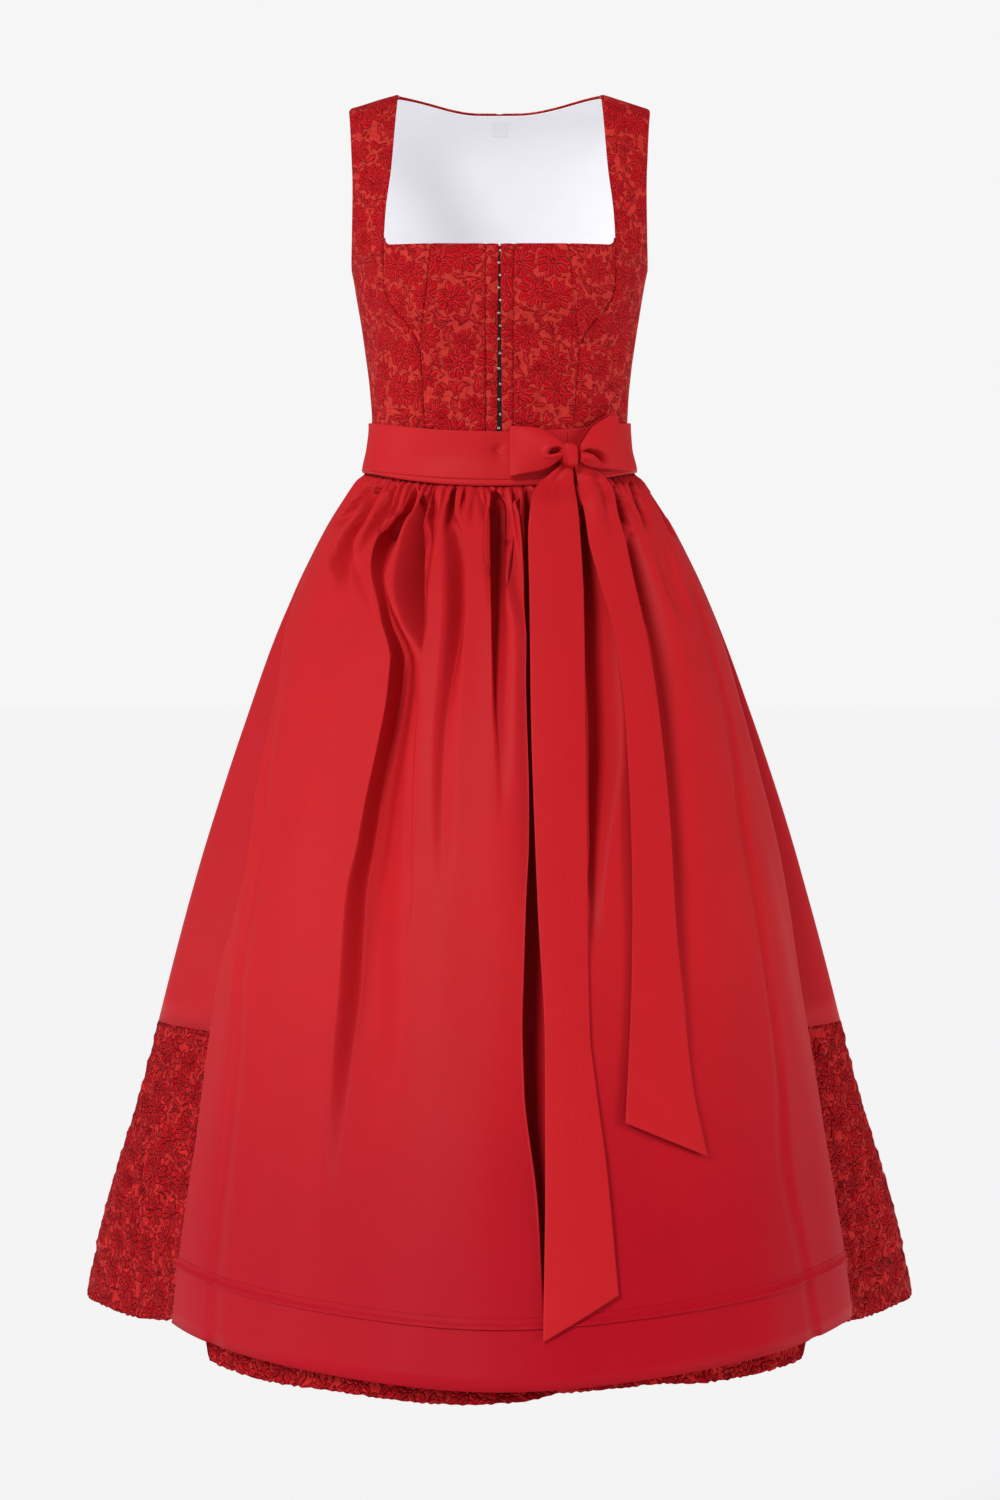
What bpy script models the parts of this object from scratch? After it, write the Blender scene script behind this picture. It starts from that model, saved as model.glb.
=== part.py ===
"""Sleeveless dirndl: brocade bodice with a hooked front, gathered skirt with a brocade border, tied apron.

Metres, +Z up, the front faces -Y. Left and right are as seen from the front, so left is -X.
The origin is midway between the two shoulder seams, where the wearer's shoulders carry the dress.
A level is the distance below the shoulders in millimetres, before the waistline's dip in front.
An angle is in degrees round the figure: 0 is the front, 90 the right side, 180 the back.
"""

import math

import bmesh
import bpy
from mathutils import Vector

MM = 0.001

# Cloth thicknesses and clearances, in millimetres.
BROCADE_WALL = 1.6
SATIN_WALL = 1.1
LINING_WALL = 1.0
SEAM_HALF = 0.3
SHOULDER_SEAM = 0.4
LAYER_GAP = 0.6
LINING_GAP = 0.9

SASH_BEHIND = 0.7
SASH_IN_FRONT = 2.3
SASH_FLARE = 1.2

# Levels that the pieces meet at.
NECKLINE = 158.0
DART_POINT = 245.0
WAIST_SEAM = 350.0
ARMHOLE_TOP_BACK = 112.0
ARMPIT = 168.0
SASH_TOP = 313.0
SASH_BOTTOM = 358.0
APRON_BAND_TOP = 334.0
APRON_BAND_BOTTOM = 360.0
BAND_DROP_IN_FRONT = 4.0
BORDER_TOP = 878.0
SKIRT_HEM = 1136.0
APRON_HEM = 1121.0
TUCK_FOLD = 1074.0
HEM_SAG = 5.0
TUCK_HEIGHT = 9.0

# Half widths from the centre line.
NECK_HALF = 95.5
SHOULDER_HALF = 143.0
PLACKET_OUTER = 12.6
HOOK_TAPE_HALF = 9.0
SHOULDER_SLOPE = 14.0
WAIST_DIP = 13.0
TORSO_SQUARENESS = 2.3

# The bodice's sections: level, half width, depth in front, depth behind.
TORSO = (
    (0, 168.0, 0.0, 0.0),
    (3, 168.0, 20.0, 23.0),
    (10, 167.0, 36.0, 43.0),
    (24, 165.0, 53.0, 62.0),
    (55, 160.0, 77.0, 83.0),
    (100, 154.0, 103.0, 98.0),
    (142, 148.0, 122.0, 104.0),
    (170, 140.0, 130.0, 104.0),
    (200, 134.5, 130.0, 101.0),
    (242, 128.0, 118.0, 95.0),
    (285, 122.6, 103.0, 90.0),
    (313, 121.2, 97.5, 88.5),
    (335, 123.0, 97.5, 89.5),
    (350, 125.3, 99.0, 91.0),
    (366, 127.4, 101.0, 93.0),
)

# The skirt's sections: level, half width, front of the apron, front of the skirt under it, back.
SKIRT = (
    (350, 125.3, 99.0, 99.0, 91.0),
    (360, 128.0, 102.4, 98.0, 94.4),
    (370, 138.0, 113.0, 99.0, 104.0),
    (385, 148.5, 127.0, 106.0, 116.0),
    (413, 166.0, 147.0, 118.0, 134.0),
    (442, 181.0, 165.0, 130.0, 151.0),
    (470, 194.5, 181.0, 142.0, 167.0),
    (527, 218.5, 209.0, 163.0, 195.0),
    (584, 238.0, 233.0, 184.0, 219.0),
    (641, 256.0, 254.0, 206.0, 240.0),
    (727, 283.0, 286.0, 238.0, 271.0),
    (841, 314.0, 322.0, 276.0, 306.0),
    (955, 345.0, 358.0, 318.0, 341.0),
    (1069, 376.0, 393.0, 363.0, 375.0),
    (1136, 391.5, 413.0, 390.0, 393.0),
)

# How far the apron and the skirt under it reach sideways, as shares of the half width:
# level, apron on the left, apron on the right, skirt on the left, skirt on the right.
REACH = (
    (350, 1.0, 1.0, 0.985, 0.985),
    (360, 1.0, 1.0, 0.965, 0.965),
    (372, 1.0, 1.0, 0.93, 0.93),
    (440, 0.995, 0.995, 0.90, 0.90),
    (520, 0.98, 0.985, 0.87, 0.87),
    (660, 0.955, 0.965, 0.855, 0.86),
    (850, 0.90, 0.93, 0.83, 0.85),
    (1136, 0.845, 0.885, 0.82, 0.86),
)

# The apron's two side edges: level, angle of the left edge, angle of the right edge.
APRON_EDGES = (
    (350, -86.0, 86.0),
    (440, -84.0, 86.0),
    (486, -79.5, 85.0),
    (525, -71.5, 84.0),
    (565, -66.0, 82.0),
    (640, -64.0, 79.0),
    (724, -60.0, 76.0),
    (790, -62.5, 74.0),
    (830, -65.5, 72.5),
    (900, -65.0, 70.5),
    (1000, -63.0, 68.0),
    (1136, -62.0, 66.5),
)

# How much lower the skirt's hem hangs under the apron: angle, drop.
FRONT_HEM_DROP = (
    (-72, 0.0),
    (-60, -5.0),
    (-53, 8.0),
    (-40, 7.0),
    (-25, 4.0),
    (-8, 6.0),
    (3, 3.0),
    (9, -3.0),
    (22, -4.0),
    (30, 1.0),
    (46, 5.0),
    (60, -2.0),
    (72, 0.0),
)

# The folds: the angle and the depth at each of these levels, then the half width in degrees
# on the left and on the right.
FOLD_LEVELS = (366, 400, 440, 500, 600, 720, 900, 1136)
APRON_FOLDS = (
    ((-81, -80, -78, -74, -68, -63, -64, -61), (0, 2, 4, 6, 6, 6, 7, 7), 8.0, 3.5),
    ((-60, -58, -59, -52, -50, -50, -50, -50), (2, 8, 12, 6, 2, 1, 1, 1), 6.0, 5.0),
    ((-36, -37, -38, -29, -23, -24.5, -25, -23), (2, 11, 20, 24, 28, 26, 18, 6), 3.6, 4.6),
    ((-19, -18, -14, -13, -13, -12, -11, -10), (1, 6, 9, 10, 7, 4, 3, 3), 3.4, 3.4),
    ((-2.5, -2, -1.5, -0.5, 1, 0.5, 0, 1), (2, 9, 14, 17, 15, 8, 4, 2), 2.2, 3.6),
    ((13, 12, 10.5, 9, 8, 7, 8, 9), (1, 6, 12, 18, 24, 28, 26, 10), 3.2, 5.5),
    ((31, 29, 27, 25.5, 24, 19.5, 17, 16), (3, 12, 20, 24, 22, 14, 6, 3), 3.6, 3.6),
    ((52, 46, 43.5, 42, 39, 36, 34, 30), (3, 13, 16, 15, 11, 7, 4, 3), 4.6, 4.0),
    ((82, 81, 79, 76, 71, 65, 62, 60), (0, 2, 4, 7, 9, 11, 12, 12), 5.5, 9.0),
)
SKIRT_FOLDS = (
    ((103, 103, 103, 103, 103, 103, 103, 103), (2, 4, 5, 7, 8, 10, 13, 16), 5.5, 5.5),
    ((121, 121, 121, 120, 120, 119, 118, 118), (2, 5, 7, 10, 13, 16, 20, 24), 6.5, 6.5),
    ((133, 133, 133, 134, 134, 135, 135, 135), (1, 3, 4, 6, 9, 11, 14, 18), 5.5, 5.5),
    ((150, 150, 150, 150, 150, 151, 151, 151), (3, 6, 9, 12, 15, 19, 24, 28), 7.0, 7.0),
    ((164, 164, 164, 165, 165, 166, 167, 167), (1, 3, 5, 7, 10, 13, 16, 20), 5.5, 5.5),
    ((180, 180, 180, 180, 180, 181, 182, 182), (2, 4, 6, 8, 11, 14, 18, 22), 6.0, 6.0),
    ((199, 199, 199, 198, 198, 197, 197, 197), (2, 5, 8, 11, 14, 17, 21, 26), 6.5, 6.5),
    ((212, 212, 212, 213, 213, 214, 214, 214), (1, 3, 4, 6, 9, 11, 14, 17), 5.5, 5.5),
    ((229, 229, 229, 229, 229, 230, 230, 230), (3, 6, 8, 11, 14, 18, 22, 27), 7.0, 7.0),
    ((243, 243, 243, 244, 244, 245, 246, 246), (1, 3, 4, 6, 8, 11, 14, 17), 5.5, 5.5),
    ((259, 259, 259, 259, 259, 260, 260, 260), (1, 3, 4, 5, 7, 9, 11, 14), 5.0, 5.0),
)

# Seams of the bodice, as distances from the centre line at each level.
FRONT_ARMHOLE = ((0, 143.0), (24, 141.0), (55, 139.5), (100, 138.0), (142, 138.5), (158, 139.2))
BACK_ARMHOLE = ((0, 143.0), (24, 139.0), (55, 134.5), (100, 131.5), (142, 134.0), (158, 137.5))
STRAP_INNER = ((0, 95.5), (24, 97.0), (80, 99.5), (125, 103.5), (158, 105.0))
CUP_OUTER = ((158, 105.0), (184, 105.5), (200, 103.0), (216, 95.0), (232, 82.0), (245, 74.6))
CUP_INNER = ((158, 63.0), (200, 67.0), (232, 71.0), (245, 71.9))
FRONT_DART = ((245, 73.0), (270, 71.5), (313, 69.0), (350, 67.0))
BACK_PRINCESS = ((112, 131.5), (135, 116.0), (165, 97.0), (200, 82.0), (245, 68.0), (300, 55.0), (350, 50.0))
FRONT_EDGE = ((158, 1.3), (245, 1.5), (350, 2.6))
BACK_NECK_LEVEL = 11.0
CUP_FULLNESS = 7.0
CUP_CENTRE = (64.0, 205.0)
CUP_SPREAD = (34.0, 42.0)

# Rows of the bodice's panels.
STRAP_LEVELS = (0, 3, 10, 24, 48, 80, 118, 158)
CUP_LEVELS = (158, 172, 186, 200, 216, 232, 245)
LOWER_LEVELS = (248, 262, 280, 300, 316, 334, 350)
BACK_LEVELS = (0, 3, 10, 24, 48, 80, 112, 135, 158, 172, 200, 232, 262, 290, 313, 334, 350)

# Rows of the skirt and the apron, as distances below their top edges.
APRON_ROWS = (0, 5, 13, 26, 45, 70, 100, 145, 200, 270, 350, 440, 530, 620, 700, 764)
SKIRT_ROWS = (0, 8, 16, 28, 48, 78, 120, 180, 250, 340, 435, 528)
SKIRT_FRONT_ROWS = (0, 14, 30, 60, 110, 180, 280, 400, 528)
BORDER_ROWS = (0, 65, 130, 195, 258)
GATHERED_ROWS = 4
APRON_GATHERS = 44
QUARTER_GATHERS = 22
GATHER_DEPTH = ((350, 0.8), (361, 1.0), (374, 2.3), (395, 2.2), (415, 1.0), (445, 0.0))

# The bow: its knot on the sash, its two loops and its two hanging ends.
KNOT_X = 63.0
KNOT_LEVEL = 339.0
KNOT_SIZE = (19.0, 17.0, 23.0)
LOOP_BEND = 2.1
LOOP_BACK_OUT = 5.4
LOOP_BELLY = 3.0
# Each loop near the knot: half height, x, level. At its far end: half height, x at the top,
# x at the bottom, level.
LEFT_LOOP = {"near": (6.0, 53.0, 337.0), "far": (24.0, 12.5, 10.5, 332.5)}
RIGHT_LOOP = {"near": (6.0, 73.0, 337.0), "far": (24.5, 106.0, 116.0, 328.5)}
# Each hanging end: level, left edge, right edge, and how far it stands off the apron.
LEFT_TAIL = (
    (350, 55.0, 64.0, 5.8),
    (362, 40.0, 64.0, 7.0),
    (382, 28.5, 66.0, 6.0),
    (415, 25.5, 71.5, 5.0),
    (480, 26.0, 74.0, 4.0),
    (568, 26.6, 73.7, 3.5),
    (665, 29.0, 74.0, 3.5),
    (742, 32.0, 74.0, 3.5),
    (847, 37.5, 75.0, 3.5),
    (890, 37.4, 79.4, 3.5),
    (955, 37.0, 88.0, 3.5),
    (1040, 36.8, 96.0, 3.5),
)
LEFT_TAIL_POINT = 40.0
RIGHT_TAIL = (
    (350, 66.0, 78.0, 5.8),
    (364, 66.5, 92.0, 6.5),
    (385, 70.5, 102.0, 6.0),
    (418, 77.0, 112.0, 5.0),
    (456, 86.0, 119.0, 4.5),
    (520, 100.0, 130.0, 4.0),
    (593, 110.0, 139.0, 3.5),
    (655, 111.5, 145.5, 3.5),
    (742, 112.4, 150.0, 3.5),
    (796, 111.4, 155.0, 3.5),
    (862, 108.0, 161.0, 3.5),
    (911, 104.7, 170.0, 3.5),
)
RIGHT_TAIL_POINT = -33.0

LABEL_WIDTH = 15.0
LABEL_TOP = 15.0
LABEL_HEIGHT = 12.0

# Colours in linear light: base colour, roughness.
BROCADE = ("red_brocade", (0.46, 0.012, 0.018, 1.0), 0.55)
SATIN = ("red_satin", (0.58, 0.022, 0.030, 1.0), 0.42)
LINING = ("white_lining", (0.80, 0.80, 0.84, 1.0), 0.8)
TAPE = ("black_tape", (0.01, 0.01, 0.01, 1.0), 0.7)


def clear_scene():
    for thing in list(bpy.data.objects):
        bpy.data.objects.remove(thing)


def new_collection(name):
    collection = bpy.data.collections.new(name)
    bpy.context.scene.collection.children.link(collection)
    return collection


def cloth_material(name, colour, roughness):
    material = bpy.data.materials.get(name)
    if material:
        return material
    material = bpy.data.materials.new(name)
    material.use_nodes = True
    surface = material.node_tree.nodes["Principled BSDF"]
    surface.inputs["Base Color"].default_value = colour
    surface.inputs["Roughness"].default_value = roughness
    surface.inputs["Metallic"].default_value = 0.0
    return material


def smooth(table, at, column=1):
    """A column of a table at a place in its first column, on a smooth curve through the rows."""
    if at <= table[0][0]:
        return table[0][column]
    if at >= table[-1][0]:
        return table[-1][column]
    places = [row[0] for row in table]
    values = [row[column] for row in table]
    rises = [(b - a) / (q - p) for p, q, a, b in zip(places, places[1:], values, values[1:])]
    slopes = [rises[0]]
    for before, after in zip(rises, rises[1:]):
        slopes.append(2 * before * after / (before + after) if before * after > 0 else 0.0)
    slopes.append(rises[-1])
    i = next(k for k in range(len(rises)) if at <= places[k + 1])
    span = places[i + 1] - places[i]
    t = (at - places[i]) / span
    return (
        values[i] * (1 + 2 * t) * (1 - t) ** 2
        + values[i + 1] * t * t * (3 - 2 * t)
        + span * t * (1 - t) * (slopes[i] * (1 - t) - slopes[i + 1] * t)
    )


def ramp(low, high, at):
    """0 up to low, 1 from high, with a soft start and end between them."""
    t = min(1.0, max(0.0, (at - low) / (high - low)))
    return t * t * (3 - 2 * t)


def frontness(angle):
    return max(0.0, math.cos(math.radians(angle))) ** 2


def waist_dip(angle, level):
    """The waistline hangs lower in front, from under the bust to the upper skirt."""
    return WAIST_DIP * frontness(angle) * ramp(235, 315, level) * (1 - ramp(345, 600, level))


def offset(shape, angle, level, out):
    """A point of a surface, moved out of it by a distance in millimetres."""
    point = shape(angle, level)
    if not out:
        return point
    around = shape(angle + 0.4, level) - shape(angle - 0.4, level)
    down = shape(angle, level + 1.5) - shape(angle, max(0.0, level - 1.5))
    return point + down.cross(around).normalized() * out


def torso(angle, level):
    """The outside of the bodice, in millimetres."""
    turn = math.radians(angle)
    power = 2 / TORSO_SQUARENESS
    aside = math.copysign(abs(math.sin(turn)) ** power, math.sin(turn))
    forward = math.copysign(abs(math.cos(turn)) ** power, math.cos(turn))
    squares = [(row[0], row[2] ** 2, row[3] ** 2) for row in TORSO]
    depth = math.sqrt(smooth(squares, level, 1 if forward > 0 else 2))
    x = smooth(TORSO, level) * aside
    slope = SHOULDER_SLOPE * min(1.0, max(0.0, abs(x) - NECK_HALF) / (SHOULDER_HALF - NECK_HALF))
    slope *= (1 - ramp(0, 110, level))
    if forward > 0:
        away_x = (abs(x) - CUP_CENTRE[0]) / CUP_SPREAD[0]
        away_z = (level - CUP_CENTRE[1]) / CUP_SPREAD[1]
        depth += CUP_FULLNESS * math.exp(-away_x ** 2 - away_z ** 2) / max(forward, 0.5)
    seam_gap = math.copysign(SHOULDER_SEAM * (1 - ramp(0, 24, level)), forward)
    return Vector((x, -depth * forward - seam_gap, -(level + slope + waist_dip(angle, level))))


def torso_angle(x, level, behind=False):
    """The angle at which the bodice is this far from the centre line."""
    share = min(1.0, abs(x) / smooth(TORSO, level)) ** (TORSO_SQUARENESS / 2)
    angle = math.degrees(math.asin(min(1.0, share)))
    return math.copysign(180 - angle if behind else angle, x)


def fold_depth(folds, angle, level):
    total = 0.0
    for angles, depths, left_width, right_width in folds:
        away = angle - smooth(tuple(zip(FOLD_LEVELS, angles)), level)
        depth = smooth(tuple(zip(FOLD_LEVELS, depths)), level)
        total += depth * math.exp(-((away / (left_width if away < 0 else right_width)) ** 2))
    return total


def ellipse(half_width, depth, angle, level, fold):
    """A point of an oval section, moved in by a fold's depth."""
    turn = math.radians(angle)
    point = Vector((half_width * math.sin(turn), -depth * math.cos(turn), 0.0))
    inward = Vector((-math.sin(turn) * depth, math.cos(turn) * half_width, 0.0)).normalized()
    point += inward * fold
    point.z = -(level + waist_dip(angle, level))
    return point


def apron_half(side, level):
    return smooth(SKIRT, level) * smooth(REACH, level, 1 if side < 0 else 2)


def apron_surface(angle, level):
    """The outside of the apron, in millimetres."""
    return ellipse(apron_half(angle, level), smooth(SKIRT, level, 2), angle, level,
                   fold_depth(APRON_FOLDS, angle, level))


def apron_crests(angle, level):
    """The smooth surface that touches the apron's crests, which the bow's ends hang on."""
    return ellipse(apron_half(angle, level), smooth(SKIRT, level, 2), angle, level, 0.0)


def apron_edge(side, level):
    return smooth(APRON_EDGES, level, 1 if side < 0 else 2)


def skirt_surface(angle, level):
    """The outside of the skirt: full behind, tucked in under the apron, and swung out at the sides."""
    angle = angle % 360
    near = angle if angle <= 180 else angle - 360
    half = smooth(SKIRT, level)
    if abs(near) < 90:
        edge = abs(apron_edge(near, level)) + 1
        tucked = smooth(REACH, level, 3 if near < 0 else 4)
        half *= tucked + (1 - tucked) * ramp(edge, 90, abs(near))
        point = ellipse(half, smooth(SKIRT, level, 3), near, level, 0.0)
        point.z -= smooth(FRONT_HEM_DROP, near) * ramp(1000, SKIRT_HEM, level)
        return point
    return ellipse(half, smooth(SKIRT, level, 4), near, level, fold_depth(SKIRT_FOLDS, angle, level))


def gather(place, level):
    """How far a gather is pressed in; whole places are crests and half places are the folds between."""
    strength = 0.75 + 0.25 * math.sin(2.4 * place)
    return smooth(GATHER_DEPTH, level) * strength * (1 - math.cos(2 * math.pi * place))


def cloth(name, shape, columns, rows, wall, material, collection, gathered_rows=0):
    """A sheet of cloth: a thin slab that is bent onto a surface.

    shape takes a column, from 0 to columns, a row, from 0 to rows, and a depth into the cloth.
    It gives the surface, the angle and the level there, and how far it stands off the surface.
    The gathered rows at the top have twice as many columns.
    """
    sheet = bmesh.new()
    bmesh.ops.create_grid(sheet, x_segments=columns, y_segments=rows, size=0.5)
    if gathered_rows:
        lowest = 0.5 - (gathered_rows + 0.5) / rows
        across = [
            edge
            for edge in sheet.edges
            if abs(edge.verts[0].co.y - edge.verts[1].co.y) < 1e-6 and edge.verts[0].co.y > lowest
        ]
        bmesh.ops.subdivide_edges(sheet, edges=across, cuts=1)
    bmesh.ops.solidify(sheet, geom=sheet.faces[:], thickness=0.1)
    outermost = max(vertex.co.z for vertex in sheet.verts)
    for vertex in sheet.verts:
        column = (vertex.co.x + 0.5) * columns
        row = (0.5 - vertex.co.y) * rows
        depth = 0.0 if vertex.co.z > outermost - 0.05 else wall
        vertex.co = offset(*shape(column, row, depth)) * MM
    sheet.normal_update()
    bmesh.ops.recalc_face_normals(sheet, faces=sheet.faces[:])
    mesh = bpy.data.meshes.new(name)
    sheet.to_mesh(mesh)
    sheet.free()
    mesh.materials.append(cloth_material(*material))
    mesh.shade_smooth()
    collection.objects.link(bpy.data.objects.new(name, mesh))


def between(levels, row):
    """The level of a row, which may lie between two rows of the list."""
    low = min(int(row), len(levels) - 2)
    return levels[low] + (levels[low + 1] - levels[low]) * (row - low)


def bodice_panel(name, first, last, levels, columns, collection, **options):
    """A panel of the bodice between two seams, each a function from a level to an angle."""
    out = options.get("out", 0.0)
    wall = options.get("wall", BROCADE_WALL)
    material = options.get("material", BROCADE)
    edge_level = options.get("edge_level", lambda angle, level: level)
    inset = math.degrees(SEAM_HALF / 115)

    def angle_at(share, level):
        start = first(level)
        return start + inset + (last(level) - start - 2 * inset) * share

    def shape(column, row, depth):
        level = between(levels, row)
        level = edge_level(angle_at(column / columns, level), level)
        angle = angle_at(column / columns, level)
        if row == len(levels) - 1:
            level -= SEAM_HALF
        elif row == 0 and levels[0] > 0:
            level += SEAM_HALF
        return torso, angle, level, out - depth

    cloth(name, shape, columns, len(levels) - 1, wall, material, collection)


def seam(table, behind=False, side=1):
    """A seam given as distances from the centre line, as a function from a level to an angle."""
    return lambda level: side * torso_angle(smooth(table, level), level, behind)


def front_outer(side):
    """The front panel's outer side: the armhole, then the side seam below the armpit."""
    armhole = seam(FRONT_ARMHOLE)

    def angle(level):
        if level >= ARMPIT:
            return side * 90.0
        return side * armhole(level)

    return angle


def back_outer(side):
    armhole = seam(BACK_ARMHOLE, behind=True)

    def angle(level):
        if level >= ARMPIT:
            return side * 90.0
        return side * armhole(level)

    return angle


def ordered(first, last, side):
    """The two seams of a panel in the order that makes its faces point outwards on either side."""
    return (first, last) if side > 0 else (last, first)


def make_bodice_front(side, word, collection):
    inner_strap = seam(STRAP_INNER, side=side)
    cup_outer = seam(CUP_OUTER, side=side)
    cup_inner = seam(CUP_INNER, side=side)
    dart = seam(FRONT_DART, side=side)
    edge = seam(FRONT_EDGE, side=side)
    outer = front_outer(side)

    def side_inner(level):
        if level < NECKLINE + 1:
            return inner_strap(level)
        return cup_outer(level) if level < DART_POINT + 1 else dart(level)

    def centre_outer(level):
        return cup_inner(level) if level < DART_POINT + 1 else dart(level)

    def placket_outer(level):
        return side * torso_angle(PLACKET_OUTER, level)

    def rounded_corner(angle, level):
        """The neckline curves up a little where it meets the strap."""
        x = abs(torso(angle, NECKLINE).x)
        return level - 4.5 * ramp(92, 106, x) * (1 - ramp(NECKLINE, 190, level))

    upper_and_lower = CUP_LEVELS + LOWER_LEVELS
    bodice_panel(f"front_side_{word}", *ordered(side_inner, outer, side),
                 STRAP_LEVELS + upper_and_lower[1:], 4, collection)
    bodice_panel(f"front_cup_{word}", *ordered(cup_inner, cup_outer, side),
                 CUP_LEVELS, 3, collection, edge_level=rounded_corner)
    bodice_panel(f"front_centre_{word}", *ordered(placket_outer, centre_outer, side),
                 upper_and_lower, 3, collection)
    bodice_panel(f"placket_{word}", *ordered(edge, placket_outer, side),
                 upper_and_lower, 1, collection)


def back_neck(angle, level):
    """The back neckline scoops from the shoulders to the centre back."""
    x = abs(torso(angle, 60).x)
    scoop = BACK_NECK_LEVEL * (1 - ramp(20, NECK_HALF + 4, x))
    return level + scoop * (1 - ramp(0, 60, level))


def make_bodice_back(side, word, collection):
    princess = seam(BACK_PRINCESS, behind=True, side=side)
    outer = back_outer(side)

    def centre_back(level):
        return side * 180.0

    def centre_outer(level):
        return outer(level) if level < ARMHOLE_TOP_BACK + 1 else princess(level)

    low_levels = tuple(level for level in BACK_LEVELS if level >= ARMHOLE_TOP_BACK)
    inside = -(BROCADE_WALL + LINING_GAP)
    bodice_panel(f"back_centre_{word}", *ordered(centre_outer, centre_back, side),
                 BACK_LEVELS, 7, collection, edge_level=back_neck)
    bodice_panel(f"back_side_{word}", *ordered(outer, princess, side),
                 low_levels, 3, collection)
    bodice_panel(f"lining_centre_{word}", *ordered(centre_outer, centre_back, side),
                 (2,) + BACK_LEVELS[2:], 7, collection, edge_level=back_neck,
                 out=inside, wall=LINING_WALL, material=LINING)
    bodice_panel(f"lining_side_{word}", *ordered(outer, princess, side),
                 low_levels, 3, collection, out=inside, wall=LINING_WALL, material=LINING)


def make_hook_tape(collection):
    """The tape behind the front opening that carries the hooks and eyes."""
    levels = (NECKLINE + 1,) + CUP_LEVELS[1:] + LOWER_LEVELS
    bodice_panel("hook_tape", lambda level: -torso_angle(HOOK_TAPE_HALF, level),
                 lambda level: torso_angle(HOOK_TAPE_HALF, level), levels, 2, collection,
                 out=-(BROCADE_WALL + LAYER_GAP), wall=1.2, material=TAPE)


def make_size_label(collection):
    def shape(column, row, depth):
        x = LABEL_WIDTH * (column / 2 - 0.5)
        level = LABEL_TOP + LABEL_HEIGHT * row / 2
        inside = BROCADE_WALL + LINING_GAP + LINING_WALL + LAYER_GAP
        return torso, torso_angle(x or 0.001, level, behind=True), level, -inside - depth

    cloth("size_label", shape, 2, 2, LINING_WALL, LINING, collection)


def skirt_panel(name, start, end, levels, columns, collection, **options):
    """A panel of the skirt between two angles."""
    gathered_rows = options.get("gathered_rows", 0)
    material = options.get("material", SATIN)
    spread = options.get("spread", lambda share, level: share)

    def shape(column, row, depth):
        level = between(levels, row)
        share = spread(column / columns, level)
        inset = math.degrees(SEAM_HALF / smooth(SKIRT, level))
        angle = start + inset + (end - start - 2 * inset) * share
        if row == 0:
            level += SEAM_HALF
        if row == len(levels) - 1 and level < SKIRT_HEM:
            level -= SEAM_HALF
        pressed = gather(column, level) if gathered_rows and 0 < column < columns else 0.0
        return skirt_surface, angle, level, -pressed - depth

    return cloth(name, shape, columns, len(levels) - 1, SATIN_WALL, material, collection, gathered_rows)


def make_skirt(collection):
    top = [WAIST_SEAM + row for row in SKIRT_ROWS]
    front_top = [WAIST_SEAM + row for row in SKIRT_FRONT_ROWS]
    border = [BORDER_TOP + row for row in BORDER_ROWS]

    def crowd(side):
        """Half of a front panel's columns lie in the part that shows beside the apron."""

        def spread(share, level):
            edge = abs(apron_edge(side, level)) / 90
            placed = 2 * share * edge if share < 0.5 else edge + (2 * share - 1) * (1 - edge)
            return placed

        return spread

    right = crowd(1)
    left = crowd(-1)
    for word, start, end, spread in (
        ("front_right", 0, 90, right),
        ("front_left", 270, 360, lambda share, level: 1 - left(1 - share, level)),
    ):
        skirt_panel(f"skirt_{word}", start, end, front_top, 10, collection, spread=spread)
        skirt_panel(f"border_{word}", start, end, border, 10, collection, spread=spread, material=BROCADE)
    for word, start, end in (("back_right", 90, 180), ("back_left", 180, 270)):
        skirt_panel(f"skirt_{word}", start, end, top, QUARTER_GATHERS, collection, gathered_rows=GATHERED_ROWS)
        skirt_panel(f"border_{word}", start, end, border, QUARTER_GATHERS, collection, material=BROCADE)


def apron_top(angle):
    return APRON_BAND_BOTTOM + BAND_DROP_IN_FRONT * frontness(angle)


def hem_sag(angle):
    """The apron's hem and tuck hang a little lower at the middle."""
    return HEM_SAG * math.exp(-((angle / 20) ** 2))


def apron_angle(share, level):
    left = apron_edge(-1, level)
    return left + (apron_edge(1, level) - left) * share


def make_apron(collection):
    def panel(column, row, depth):
        share = between(APRON_ROWS, row) / APRON_ROWS[-1]
        angle = apron_angle(column / APRON_GATHERS, APRON_BAND_BOTTOM + share * APRON_ROWS[-1])
        top = apron_top(angle) + 2 * SEAM_HALF
        level = top + share * (APRON_HEM + hem_sag(angle) - top)
        return apron_surface, angle, level, -gather(column, level) - depth

    def tuck(column, row, depth):
        level = TUCK_FOLD - TUCK_HEIGHT * (1 - row)
        angle = apron_angle(column / APRON_GATHERS, level)
        level += hem_sag(angle)
        return apron_surface, angle, level, LAYER_GAP + 1.0 - depth

    def waistband(column, row, depth):
        angle = apron_angle(column / 40, APRON_BAND_BOTTOM)
        level = APRON_BAND_TOP + (apron_top(angle) - APRON_BAND_TOP) * row / 3
        return torso, angle, level, LAYER_GAP + SATIN_WALL - depth

    cloth("apron_panel", panel, APRON_GATHERS, len(APRON_ROWS) - 1, SATIN_WALL, SATIN, collection,
          GATHERED_ROWS)
    cloth("apron_tuck", tuck, APRON_GATHERS, 1, 1.0, SATIN, collection)
    cloth("apron_waistband", waistband, 40, 3, SATIN_WALL, SATIN, collection)


def sash_out(angle, level):
    """How far the sash stands off the bodice: over the waistband in front and the gathers below."""
    over_band = ramp(-100, -88, angle) * (1 - ramp(88, 100, angle))
    return SASH_BEHIND + (SASH_IN_FRONT - SASH_BEHIND) * over_band + SASH_FLARE * ramp(338, SASH_BOTTOM, level)


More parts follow.
